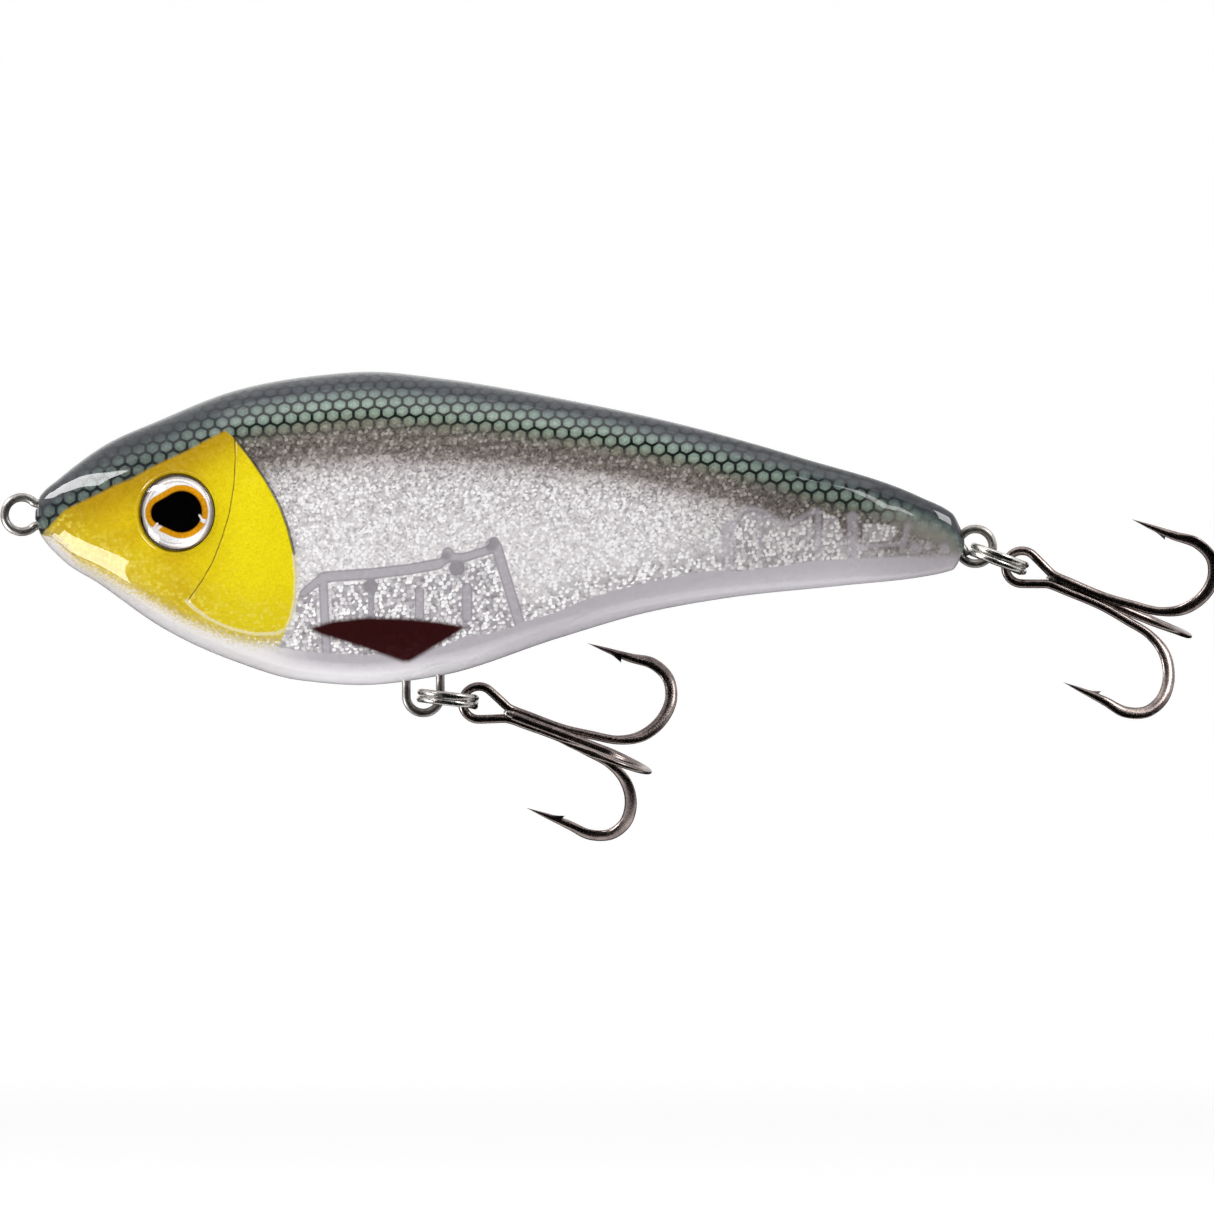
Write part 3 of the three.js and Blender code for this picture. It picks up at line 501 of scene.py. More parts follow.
def sprayedClearPlastic():
    # clear ABS shell, sprayed inside and out, then dipped in gloss lacquer: deep colour under a
    # sharp clear coat, hexagon netting sprayed through a mesh, foil glitter cast into the plastic
    material, tree = startMaterial("sprayedClearAbs")
    girth = addNode(tree, "UVMap", uv_map="girth").outputs[0]
    along, fromBack, cell, yellowTop, yellowRear = [
        addNode(tree, "Attribute", attribute_name=name).outputs["Fac"]
        for name in ("along", "fromBack", "cell", "yellowTop", "yellowRear")]
    ramped = addNode(tree, "MapRange", {"Value": fromBack, "From Max": spray["depth"]}).outputs[0]
    cloud = addNode(tree, "TexNoise", {"Vector": girth, "Scale": spray["cloud"], "Detail": 2.0}).outputs[0]
    cloudy = addNode(tree, "MapRange", {"Value": cloud, "To Min": -0.035, "To Max": 0.035}).outputs[0]
    ramped = addNode(tree, "Math", {0: ramped, 1: cloudy}, operation="ADD").outputs[0]
    grain = addNode(tree, "TexNoise", {"Vector": girth, "Scale": spray["droplet"], "Detail": 3.0,
                                       "Roughness": 0.75}).outputs[0]
    back = backPaint(tree, girth, along, ramped, grain)

    # glitter: round foil flakes, each with its own brightness; the fine ones fill the flank
    fine = addNode(tree, "TexVoronoi", {"Vector": girth, "Scale": 1 / flakes["fine"]},
                   voronoi_dimensions="2D")
    fineTone = addNode(tree, "SeparateXYZ", {0: fine.outputs["Color"]}).outputs[0]
    fineColour = addNode(tree, "ValToRGB", {"Fac": fineTone}, spray["fineStops"]).outputs[0]
    coarse = addNode(tree, "TexVoronoi", {"Vector": girth, "Scale": 1 / flakes["coarse"]},
                     voronoi_dimensions="2D")
    coarseTone = addNode(tree, "SeparateXYZ", {0: coarse.outputs["Color"]}).outputs[1]
    coarseColour = addNode(tree, "ValToRGB", {"Fac": coarseTone}, spray["coarseStops"]).outputs[0]
    onFlake = addNode(tree, "MapRange", {"Value": coarse.outputs["Distance"], "From Min": 0.6, "From Max": 0.48},
                      interpolation_type="SMOOTHSTEP").outputs[0]
    chamber, paleGaps = [
        addNode(tree, "Mix", {0: onFlake, 6: between, 7: coarseColour}, data_type="RGBA").outputs[2]
        for between in ("#a5a0a7", "#b5b0b4")]
    spark = addNode(tree, "Math", {0: onFlake, 1: coarseTone}, operation="MULTIPLY").outputs[0]
    flank = layCoat(tree, fineColour, "#fdfcfc", spark, 0.62, 0.74, most=0.7)
    flank = layCoat(tree, flank, "#f4f1f2", fromBack, 13.0, 24.0, most=0.3)
    lowBand = layCoat(tree, flank, paleGaps, "glitterLow", 5.0, 0.6)
    inCell = layCoat(tree, lowBand, chamber, cell, -0.1, 0.12)

    # brown haze of the back over the glitter, flakes showing through it; thin over the hollow cells
    haze = addNode(tree, "MapRange", {"Value": ramped, "From Min": 0.98, "From Max": 0.63},
                   interpolation_type="SMOOTHSTEP").outputs[0]
    cellMask = addNode(tree, "MapRange", {"Value": cell, "From Min": -0.1, "From Max": 0.15, "To Min": 1.0,
                                          "To Max": 0.2}).outputs[0]
    haze = addNode(tree, "Math", {0: haze, 1: cellMask}, operation="MULTIPLY").outputs[0]
    twinkle = addNode(tree, "MapRange", {"Value": fineTone, "To Min": 0.6, "To Max": 1.42}).outputs[0]
    twinkling = addNode(tree, "VectorMath", {0: back, 1: twinkle}, operation="MULTIPLY").outputs[0]
    twinkling = layCoat(tree, twinkling, "#bdb5b0", spark, 0.72, 0.84, most=0.5)
    back = layCoat(tree, back, twinkling, ramped, 0.36, 0.5)
    smoky = layCoat(tree, inCell, "#8d8783", along, 78.0, 100.0, most=0.38)
    side = addNode(tree, "Mix", {0: haze, 6: smoky, 7: back}, data_type="RGBA").outputs[2]

    # ribs seen through the plastic, sharp above the fin and dim at the tail
    ribTone = layCoat(tree, "#928c94", "#aca6ae", "rib", 0.08, 0.34)
    ribbed = layCoat(tree, side, ribTone, "rib", -0.1, 0.1, most=0.9)
    deeper = layCoat(tree, side, ribTone, "rib", -0.16, 0.2, most=0.5)
    atRear = addNode(tree, "MapRange", {"Value": along, "From Min": 70.0, "From Max": 88.0}).outputs[0]
    side = addNode(tree, "Mix", {0: atRear, 6: ribbed, 7: deeper}, data_type="RGBA").outputs[2]
    side = layCoat(tree, side, "#7e7c80", "darkBoss", -0.35, 0.35, most=0.6)

    # belly: lilac grey just under the glitter, white at the keel, smoked at the tail
    keelColour = layCoat(tree, "#ebe8ec", "#c2bec4", along, 44.0, 70.0)
    bellyColour = layCoat(tree, keelColour, "#b4afb5", "fromBelly", 0.5, 3.2)
    bellyColour = layCoat(tree, bellyColour, "#dcd8d9", along, 40.0, 30.0)
    bellyColour = layCoat(tree, bellyColour, "#958f93", along, 104.0, 119.0, most=0.6)
    side = layCoat(tree, side, bellyColour, "glitterLow", 0.12, -0.12)

    # yellow head, sprayed soft at the throat and masked sharp behind the gill cover
    yellow, spatter = yellowPaint(tree, girth, along, grain, spark)
    masks = [addNode(tree, "MapRange", {"Value": field, "From Min": start, "From Max": end},
                     interpolation_type="SMOOTHSTEP").outputs[0]
             for field, start, end in ((yellowTop, -0.3, 0.35), (yellowRear, -0.05, 0.08),
                                       (spatter, -1.1, 1.3))]
    head = addNode(tree, "Math", {0: masks[0], 1: masks[1]}, operation="MULTIPLY").outputs[0]
    head = addNode(tree, "Math", {0: head, 1: masks[2]}, operation="MULTIPLY").outputs[0]
    colour = addNode(tree, "Mix", {0: head, 6: side, 7: yellow}, data_type="RGBA").outputs[2]
    # painted shade along the fine step of the gill cover's front line
    colour = layCoat(tree, colour, "#2a2410", "gillFront", -0.13, -0.03, most=0.75)
    # painted highlight: a pale line along the gill cover's lower border
    colour = layCoat(tree, colour, "#f2ecd0", "gillFoot", -0.42, -0.2, most=0.5)
    # painted shade: a dark line along the upper rear border of the gill cover
    colour = layCoat(tree, colour, "#2b2a16", "gillEdge", -0.26, -0.1, most=0.7)
    colour = layCoat(tree, colour, "#34090b", "fin", -0.35, 0.4)

    # each coarse flake leans its own way
    lean = (flakes["lean"],) * 3
    sparkle = addNode(tree, "VectorMath", {0: coarse.outputs["Color"], 1: (0.5, 0.5, 0.5)},
                      operation="SUBTRACT").outputs[0]
    leaning = addNode(tree, "VectorMath", {0: sparkle, 1: lean}, operation="MULTIPLY").outputs[0]
    facing = addNode(tree, "NewGeometry").outputs["Normal"]
    turned = addNode(tree, "VectorMath", {0: facing, 1: leaning}, operation="ADD").outputs[0]
    turned = addNode(tree, "VectorMath", {0: turned}, operation="NORMALIZE").outputs[0]
    endMaterial(tree, {"Base Color": colour, "Roughness": 0.42, "IOR": 1.5, "Specular IOR Level": 0.08,
                       "Coat Weight": 1.0, "Coat Roughness": 0.03, "Coat IOR": 1.5, "Normal": turned})
    return material


def printedFoil():
    # holographic foil disc printed with the iris: satin metal ink with a fine radial grain; the pale ticks on it
    # are painted highlights and its dark outer edge is painted shade
    material, tree = startMaterial("printedFoil")
    grain = addNode(tree, "UVMap", uv_map="girth").outputs[0]
    grain = addNode(tree, "TexNoise", {"Vector": grain, "Scale": 3.5, "Detail": 3.0}).outputs[0]
    pearl = addNode(tree, "ValToRGB", {"Fac": grain}, [(0.3, "#e6e2e3"), (0.5, "#f8f6f6"), (0.7, "#ffffff")])
    colour = layCoat(tree, pearl.outputs[0], "#7d5a3c", "rim", 4.0, 4.2, most=0.6)
    # painted shade: from 4.25 mm out the disc turns near black, standing for the shadow in the gap between dome
    # and socket lip
    colour = layCoat(tree, colour, "#2c1a10", "rim", 4.25, 4.38)
    colour = layCoat(tree, colour, "#8d8486", "line", -0.05, 0.03, most=0.6)
    gold = addNode(tree, "ValToRGB", {"Fac": grain}, [(0.35, "#d08a0a"), (0.65, "#e6a51c")]).outputs[0]
    nearPupil, clearOfGlint = [
        addNode(tree, "MapRange", {"Value": addNode(tree, "Attribute", attribute_name=name).outputs["Fac"],
                                   "From Min": start, "From Max": end},
                interpolation_type="SMOOTHSTEP").outputs[0]
        for name, start, end in (("pupil", -0.78, -0.66), ("glintGaps", 0.0, 0.12))]
    # the gold ring is cut where the painted highlights cross it
    goldRing = addNode(tree, "Math", {0: nearPupil, 1: clearOfGlint}, operation="MULTIPLY").outputs[0]
    colour = addNode(tree, "Mix", {0: goldRing, 6: colour, 7: gold}, data_type="RGBA").outputs[2]
    colour = layCoat(tree, colour, "#8a4a08", "pupil", -0.2, -0.02, most=0.6)
    colour = layCoat(tree, colour, "#040303", "pupil", -0.05, 0.06)
    # painted reflections of the lamps in the dome, laid on the print as pale ticks
    colour = layCoat(tree, colour, "#f4efee", "glintTick", -0.05, 0.08)
    endMaterial(tree, {"Base Color": colour, "Metallic": 0.7, "Roughness": 0.3, "IOR": 1.5,
                       "Specular IOR Level": 0.0})
    return material


def castEpoxy():
    # doming resin: clear, poured and self-levelled, so the gloss is perfect
    material, tree = startMaterial("castEpoxy")
    endMaterial(tree, {"Base Color": speckled(tree, 900.0, "#fdfdfd", "#ffffff"), "Roughness": 0.0, "IOR": 1.5,
                       "Transmission Weight": 1.0})
    return material


def metal(name, dark, light, rough, grainSize, bump):
    # drawn or plated metal: tone and gloss vary with a grain of a real size in mm
    material, tree = startMaterial(name)
    place = addNode(tree, "TexCoord").outputs["Object"]
    grain = addNode(tree, "TexNoise", {"Vector": place, "Scale": 1 / (grainSize * mm), "Detail": 4.0,
                                       "Roughness": 0.6}).outputs[0]
    wear = addNode(tree, "TexNoise", {"Vector": place, "Scale": 1 / (grainSize * 9 * mm),
                                      "Detail": 2.0}).outputs[0]
    tone = addNode(tree, "Math", {0: grain, 1: wear}, operation="MULTIPLY").outputs[0]
    colour = addNode(tree, "ValToRGB", {"Fac": tone}, [(0.12, dark), (0.36, light)]).outputs[0]
    gloss = addNode(tree, "MapRange", {"Value": grain, "From Min": 0.3, "From Max": 0.7, "To Min": rough[0],
                                       "To Max": rough[1]}).outputs[0]
    dents = addNode(tree, "Bump", {"Height": grain, "Distance": bump * mm, "Strength": 1.0}).outputs[0]
    endMaterial(tree, {"Base Color": colour, "Metallic": 1.0, "Roughness": gloss, "Normal": dents})
    return material


shellPaint = sprayedClearPlastic()
foil = printedFoil()
epoxy = castEpoxy()
# drawn stainless wire: grey, slightly brushed along its length
stainless = metal("drawnStainless", "#8b8682", "#d5d1cc", (0.34, 0.5), 0.25, 0.012)
# nickel plated spring steel: bright and smooth
nickel = metal("brightNickelPlate", "#b3afaa", "#ece9e4", (0.2, 0.34), 0.4, 0.006)
# black nickel over forged steel wire: dark brown grey with a semi-gloss skin
blackNickel = metal("blackNickelPlate", "#6f6464", "#ab9d97", (0.2, 0.32), 0.22, 0.006)
# silver solder at the neck of the treble: pale, lumpy, a little dull
solder = metal("silverSolder", "#8d8380", "#d9d2cd", (0.25, 0.45), 0.3, 0.05)
# cast lead: dull blue grey with a coarse cast skin
lead = metal("castLead", "#4d5055", "#7c8087", (0.5, 0.75), 0.6, 0.08)
# polished bearing steel balls
ballSteel = metal("polishedBallSteel", "#a9acb0", "#d3d6da", (0.06, 0.14), 0.8, 0.002)
print("finishes made")


def bodyStations():
    # x of each column: closer together at the two ends and across the eye and gill cover,
    # with a rounded cap at either end where the section shrinks to a point
    at = np.linspace(*body["ends"], 3000)
    wanted = (1 + 1.5 * ease(at, 13, 15) * (1 - ease(at, 36, 38))
              + 5 * np.exp(-(at - body["ends"][0]) / 1.2) + 5 * np.exp(-(body["ends"][1] - at) / 1.2))
    total = np.concatenate([[0], np.cumsum((wanted[1:] + wanted[:-1]) / 2 * np.diff(at))])
    x = np.interp(np.linspace(0, total[-1], body["columns"]), total, at)
    cap = np.linspace(0, np.pi / 2, 9)
    ahead, behind = body["caps"][0] * np.cos(cap), body["caps"][1] * np.cos(cap[::-1])
    place = np.concatenate([x[0] - ahead[:-1], x, x[-1] + behind[1:]])
    size = np.concatenate([np.sin(cap)[:-1], np.ones_like(x), np.sin(cap[::-1])[1:]])
    return place, size


def wallGrid(side, x, size, inset, rows):
    # superellipse section: y = width cos^(2/p), z = middle + reach sin^(2/p), shrunk by size at the caps,
    # and held off the middle plane by the seam's gap
    p = body["sectionPower"]
    turn = np.linspace(-np.pi / 2, np.pi / 2, rows)
    c, s = np.maximum(np.cos(turn), 0), np.sin(turn)
    middle, reach, width = (v[:, None] for v in section(np.clip(x, *body["ends"])))
    y = (width - inset) * c ** (2 / p) * size[:, None]
    z = middle + (reach - inset) * np.sign(s) * np.abs(s) ** (2 / p) * size[:, None]
    y = body["seamGap"] + y * (1 - body["seamGap"] / np.maximum(width - inset, 0.1))
    return np.stack([np.broadcast_to(x[:, None], y.shape), side * y, z], -1)


def gridNormals(grid, side):
    # cross product of the steps along and around the grid
    along, around = np.gradient(grid, axis=0), np.gradient(grid, axis=1)
    return unit(np.cross(along, around)) * side * -1


def makeShell(side, name, node):
    x, size = bodyStations()
    outer = wallGrid(side, x, size, 0.0, body["rows"])
    normals = gridNormals(outer, side)
    seam = np.abs(outer[..., 1]) - body["seamGap"]
    depth, width = body["hairLine"]
    relief = -depth * np.exp(-(seam / width) ** 2) * size[:, None]
    for wire, reach in ((lineTiePath(), 1.0), (tailHangerPath(), 0.8), (bellyHangerPath(), 0.75)):
        relief = relief - body["mouthDepth"] * (1 - ease(offWire(wire, outer), reach - 0.3, reach))
    shaped = outer + normals * relief[..., None]
    middle, out, _, _ = eyeFrame(side)
    height = (outer - middle) @ out
    away = np.linalg.norm(outer - middle - height[..., None] * out, axis=-1)
    sunk = 1 - ease(away, eye["socketRadius"] + 0.04, eye["socketRadius"] + 0.36)
    sunk = sunk * (outer[..., 1] * side > 3)
    shaped = shaped - out * (sunk * (height + eye["socketDepth"]))[..., None]
    within = np.where((x > x[0]) & (x < x[-1]), 1.0, 0.0)      # closes the chamber at both ends
    chamberX = np.interp(x, (x[0], x[-1]), body["chamber"])
    inside = wallGrid(side, chamberX, within, body["wall"], body["insideRows"])[:, ::-1]
    ring = np.concatenate([shaped, inside], 1)
    makePainted(name, ring, ring[..., 0], ring[..., 2], 50, [node])


def makePainted(name, skin, x, z, crease, replaces=()):
    # a piece of the painted shell: its paint is worked out at each point's place in the side view
    makePiece(name, [(skin, True)], shellPaint, "lure_body", replaces, paintFields(x, z),
              girthMap(x, z), crease)


def offWire(path, points):
    # distance from points in space to the nearest bead of a wire's path
    flat = points.reshape(-1, 3)
    best = np.full(len(flat), 1e9)
    for bead in path[::4]:
        best = np.minimum(best, ((flat - bead) ** 2).sum(1))
    return np.sqrt(best).reshape(points.shape[:-1])


hangers = {
    "wire": 0.56, "gap": 0.12,       # half the wire, and the steps along it
    "lineTie": 2.22, "bellyCentre": (51.8, -23.4), "bellyRadius": 2.19,
    "tailCentre": (123.0, -4.1), "tailRadius": 2.24,
}


def arc(centre, radius, start, end, count):
    # stretch of a circle in the middle plane, between two angles in degrees
    turn = np.radians(np.linspace(start, end, count))
    return np.stack([centre[0] + radius * np.cos(turn), np.zeros(count), centre[1] + radius * np.sin(turn)], -1)


def flatPath(points):
    return np.array([(x, 0, z) for x, z in points], float)


def smoothPath(points, gap):
    # curve through points whose speed follows the square root of their spacing, walked in even steps
    points = np.array(points, float)
    ends = np.concatenate([[2 * points[0] - points[1]], points, [2 * points[-1] - points[-2]]])
    steps = np.sqrt(np.linalg.norm(np.diff(ends[:, :3], axis=0), axis=1))[:, None]
    a, b, c = steps[:-2], steps[1:-1], steps[2:]
    move = np.diff(ends, axis=0)
    before, here, after = move[:-2], move[1:-1], move[2:]
    leave = (before / a - (before + here) / (a + b) + here / b) * b
    reach = (here / b - (here + after) / (b + c) + after / c) * b
    t = np.linspace(0, 1, 24, endpoint=False)[None, :, None]
    start, finish = points[:-1, None], points[1:, None]
    curve = ((2 * t ** 3 - 3 * t ** 2 + 1) * start + (t ** 3 - 2 * t ** 2 + t) * leave[:, None]
             + (3 * t ** 2 - 2 * t ** 3) * finish + (t ** 3 - t ** 2) * reach[:, None])
    curve = np.concatenate([curve.reshape(-1, points.shape[1]), points[-1:]])
    walked = np.concatenate([[0], np.cumsum(np.linalg.norm(np.diff(curve[:, :3], axis=0), axis=1))])
    even = np.linspace(0, walked[-1], max(int(walked[-1] / gap), 8))
    return np.stack([np.interp(even, walked, column) for column in curve.T], -1)


def sweep(path, across, halfIn, halfSide, around, crest=None):
    # an oval carried along a path: halfIn lies in the plane of the bend, halfSide square to it
    tangent = unit(np.gradient(path, axis=0))
    side = unit(across - (across * tangent).sum(-1, keepdims=True) * tangent)
    inward = np.cross(side, tangent)
    turn = np.linspace(0, 2 * np.pi, around, endpoint=False)
    halfIn, halfSide = (np.broadcast_to(np.asarray(v, float), len(path))[:, None, None]
                        for v in (halfIn, halfSide))
    skin = (path[:, None] + inward[:, None] * halfIn * np.cos(turn)[None, :, None]
            + side[:, None] * halfSide * np.sin(turn)[None, :, None])
    if crest is not None:
        skin = skin + crest(tangent, inward, turn)
    tip, root = path[:1, None] + skin[:1] * 0, path[-1:, None] + skin[-1:] * 0
    return np.concatenate([tip, skin, root])


def lineTiePath():
    # a ring at the nose with two legs that spread inside
    lower = [(10.2, -2.9), (9.3, -1.6), (7.6, -1.0), (4.6, -1.05)]
    upper = [(x, -z) for x, z in lower[::-1]]
    ring = arc((0, 0), hangers["lineTie"], -44, -316, 40)
    return smoothPath(np.concatenate([flatPath(lower), ring, flatPath(upper)]), hangers["gap"])


def bellyHangerPath():
    # a U under the belly with its legs bent apart inside
    (cx, cz), r = hangers["bellyCentre"], hangers["bellyRadius"]
    front = flatPath([(48.1, -16.2), (49.3, -16.6), (cx - r, -17.8), (cx - r, -21.2)])
    rear = flatPath([(cx + r, -21.2), (cx + r, -17.8), (54.3, -16.6), (55.5, -16.2)])
    return smoothPath(np.concatenate([front, arc((cx, cz), r, -180, 0, 28), rear]), hangers["gap"])


def tailHangerPath():
    # a shank laid in the tail, and a ring closed back against it
    shank = flatPath([(109.2, -6.0), (113.8, -5.3), (117.6, -5.0), (119.6, -5.1)])
    ring = arc(hangers["tailCentre"], hangers["tailRadius"], -152, 165, 40)
    return smoothPath(np.concatenate([shank, ring, flatPath([(121.55, -4.6), (121.9, -5.35)])]), hangers["gap"])


def makeHanger(name, node, path):
    across = np.tile([0.0, 1.0, 0.0], (len(path), 1))
    wire = sweep(path, across, hangers["wire"], hangers["wire"], 20)
    makePiece(name, [(wire, True)], stainless, "lure_body", [node])


makeShell(-1, "leftShell", "left_shell")
makeShell(1, "rightShell", "right_shell")
makeHanger("lineTie", "line_tie", lineTiePath())
makeHanger("bellyHanger", "belly_hanger", bellyHangerPath())
makeHanger("tailHanger", "tail_hanger", tailHangerPath())


def evenAlong(line, count):
    # evenly spaced places on the smooth curve through a line
    line = np.array(line, float)
    curve = smoothPath(np.stack([line[:, 0], np.zeros(len(line)), line[:, 1]], -1), 0.05)
    walked = np.linspace(0, 1, len(curve))
    share = np.linspace(0, 1, count)
    return np.stack([np.interp(share, walked, curve[:, 0]), np.interp(share, walked, curve[:, 2])], -1)


def makeGillCover(side, name):
    # crescent between its front line and rear border: it stands proud by a height that eases up from the
    # front, has a quarter-circle edge all round, and is closed underneath
    rows = gill["rows"]
    front, rear = (evenAlong(gill[border], gill["columns"]) for border in ("front", "rear"))
    span = np.linalg.norm(rear - front, axis=1)[:, None]
    roll = np.minimum(gill["edgeRadius"], span / 2)
    curl = np.linspace(0, np.pi / 2, 6)
    safeSpan = np.maximum(span, 1e-6)
    inner = np.linspace(0, 1, rows - 12)[None, 1:-1] * (1 - 2 * roll / safeSpan) + roll / safeSpan
    edge = roll * (1 - np.cos(curl))[None] / safeSpan
    share = np.concatenate([edge, inner, 1 - edge[:, ::-1]], 1)
    taper = np.minimum(span / 1.2, 1)
    high = (gill["frontRise"] + (gill["rise"] - gill["frontRise"]) * ease(share * span, 0.0, 5.0)) * taper
    curled = np.concatenate([np.sin(curl), np.ones(inner.shape[1]), np.sin(curl)[::-1]])[None]
    height = -0.25 + (high + 0.25) * curled
    place = front[:, None] + (rear - front)[:, None] * share[..., None]
    top = onSide(side, place[..., 0], place[..., 1], height)
    under = place[:, [-1, rows // 2, 0]]
    bottom = onSide(side, under[..., 0], under[..., 1], np.full(under.shape[:2], -gill["depth"]))
    both = np.concatenate([place, under], 1)
    makePainted(name, np.concatenate([top, bottom], 1), both[..., 0], both[..., 1], 60)


def makeSocketLip(side, name):
    # a painted ring that follows the body's curve round the eye, rolled over into the socket
    middle, out, along, up = eyeFrame(side)
    turn = np.linspace(0, 2 * np.pi, 160, endpoint=False)
    radius, height = np.array(eye["lip"]).T
    spoke = np.cos(turn)[:, None] * along + np.sin(turn)[:, None] * up
    flat = middle + spoke[:, None] * radius[None, :, None]
    skin = onSide(side, flat[..., 0], flat[..., 2], np.zeros(flat.shape[:2]))
    skin = skin + out * height[None, :, None]
    skin = np.concatenate([skin, skin[:1]])
    makePainted(name, skin, skin[..., 0], skin[..., 2], 60)


def pupilInside(u, v):
    # teardrop: a large and a small circle joined by their common tangents
    (a, large), (b, small) = eye["pupilRear"], eye["pupilFront"]
    line = np.array(b) - a
    length = np.linalg.norm(line)
    direction = line / length
    p = np.stack([u, v], -1) - a
    lengthwise = p @ direction
    sideways = np.abs(p[..., 0] * direction[1] - p[..., 1] * direction[0])
    lean = (large - small) / length
    upright = math.sqrt(1 - lean * lean)
    k = sideways * -lean + lengthwise * upright
    away = np.where(k < 0, np.hypot(sideways, lengthwise) - large,
                    np.where(k > length * upright, np.hypot(sideways, lengthwise - length) - small,
                             sideways * upright + lengthwise * lean - large))
    return -away


def makeEye(side, names):
    middle, out, along, up = eyeFrame(side)
    turn = np.linspace(0, 2 * np.pi, 193)[:, None]
    radius = np.concatenate([np.linspace(0, eye["radius"], 60), [eye["radius"], 0]])[None]
    depth = np.concatenate([np.full(60, -eye["discDepth"]), [-eye["discDepth"] - eye["discThick"]] * 2])[None]
    u, v = radius * np.cos(turn), radius * np.sin(turn)
    disc = middle + u[..., None] * along + v[..., None] * up + np.broadcast_to(depth, u.shape)[..., None] * out
    angle = np.degrees(np.arctan2(v, u))
    glintGaps = [np.abs((angle - place + 180) % 360 - 180) / 57.3 * eye["breakRadius"] - half
              for place, half in eye["glintGaps"]]
    glintTicks = [half - offLine(line, u.reshape(-1), v.reshape(-1)).reshape(u.shape) for half, line in eye["glintTicks"]]
    fields = {"pupil": pupilInside(u, v), "rim": np.hypot(u, v), "glintGaps": np.min(glintGaps, axis=0),
              "line": eye["lineHalf"] - np.abs(np.hypot(u, v) - eye["linePlace"]),
              "glintTick": np.max(glintTicks, axis=0)}
    makePiece(names[0], [(disc, False)], foil, "lure_body", [names[2]], fields,
              np.stack([u, v], -1))
    # dome: short upright rim, then a quarter ellipse to the crown, flat underneath
    curl = np.linspace(0, np.pi / 2, 40)
    base, rim = eye["domeBase"], eye["domeBase"] + eye["domeRim"]
    radius = np.concatenate([[0, eye["radius"] - 0.06, eye["radius"]], eye["radius"] * np.cos(curl)])[None]
    height = np.concatenate([[base, base, base + 0.06], rim + eye["domeHeight"] * np.sin(curl)])[None]
    spoke = np.cos(turn)[..., None] * along + np.sin(turn)[..., None] * up
    height = np.broadcast_to(height, (len(turn), radius.shape[1]))
    dome = middle + radius[..., None] * spoke + height[..., None] * out
    makePiece(names[1], [(dome, False)], epoxy, "lure_body", [names[3]], crease=35)


for side, word in ((-1, "left"), (1, "right")):
    makeGillCover(side, word + "GillCover")
    makeSocketLip(side, word + "SocketLip")
    makeEye(side, (word + "EyeDisc", word + "EyeDome", word + "_eye_disc", word + "_eye_dome"))
print("body and eyes made")


splitRings = {
    "radius": 3.58, "halfIn": 0.42, "halfHigh": 0.43, "pitch": 0.92, "step": 0.25, "turnIn": 0.18,
    "belly": {"centre": (54.95, -23.75), "tilt": 6.8, "jog": 0.0},
    "tail": {"centre": (126.0, -5.72), "tilt": 20.6, "jog": 25.0},
}


def makeSplitRing(name, node, which):
    # two flat turns of wire that step from one level to the other over a quarter turn, the ends tucked in
    ring = splitRings[which]
    turns = np.linspace(0, 2, 420)
    level = ease(turns, 1 - splitRings["step"] / 2, 1 + splitRings["step"] / 2) - 0.5
    settle = (ease(turns, 0, splitRings["turnIn"]) - ease(2 - turns, 0, splitRings["turnIn"])) * 0.1
    turn = 2 * np.pi * turns + math.radians(ring["jog"])
    path = np.stack([splitRings["radius"] * np.cos(turn), splitRings["radius"] * np.sin(turn),
                     splitRings["pitch"] * (level + settle)], -1)
    across = np.tile([0.0, 0.0, 1.0], (len(path), 1))
    skin = sweep(path, across, splitRings["halfIn"], splitRings["halfHigh"], 18)
    skin = tilted(skin, ring["tilt"], ring["centre"])
    makePiece(name, [(skin, True)], nickel, which + "_ring", [node])


def tilted(points, degrees, place):
    # turned nose down about the cross axis, then moved
    c, s = math.cos(math.radians(degrees)), math.sin(math.radians(degrees))
    x, y, z = points[..., 0], points[..., 1], points[..., 2]
    return np.stack([c * x + s * z + place[0], y, c * z - s * x + place[1]], -1)


makeSplitRing("bellySplitRing", "belly_split_ring", "belly")
makeSplitRing("tailSplitRing", "tail_split_ring", "tail")


hooks = {
    "wire": 0.575, "eyeRadius": 2.12, "doubleOffset": 0.72, "singleOffset": 0.97,
    "arm": [(17.8, 1.25), (21.2, 1.9), (23.8, 3.5), (25.5, 6.4), (25.8, 9.8), (24.5, 12.5), (22.0, 13.7),
            (19.2, 13.4), (17.6, 13.3)],
    "point": 4.4, "forgedIn": 0.8, "forgedSide": 0.42, "barbHeight": 0.62, "barbLean": 0.35,
    "barbBehind": 4.7, "barbLength": 1.5,
    "solder": (6.1, 8.3), "solderFat": 0.5,
    "belly": {"eyeFront": (56.44, -23.36), "tilt": 20.3, "doubleRolls": (234, 114), "singleRoll": -4},
    "tail": {"eyeFront": (126.54, -5.75), "tilt": 22.8, "doubleRolls": (-62, 57), "singleRoll": 178},
}


def hookPoint(along, out, roll):
    # place on a treble: along the shank, and out from it at a roll where 0 faces the left side
    roll = math.radians(roll)
    return [along, -out * math.cos(roll), out * math.sin(roll)]


def squareTo(roll):
    # direction square to the plane of an arm, always on the right side
    roll = math.radians(roll)
    way = np.array([0, -math.sin(roll), -math.cos(roll)])
    deciding = way[1] if abs(way[1]) > 0.2 else way[2]
    return list(way * (1 if deciding >= 0 else -1))


def armPoints(roll, offset):
    # rows of place and square direction, from the shank round the bend to the tip
    last = hooks["arm"][-1]
    ends = [(9, offset), (14, offset)] + hooks["arm"] + [(last[0] - hooks["point"], last[1] - 0.1)]
    return [hookPoint(along, out, roll) + squareTo(roll) for along, out in ends]


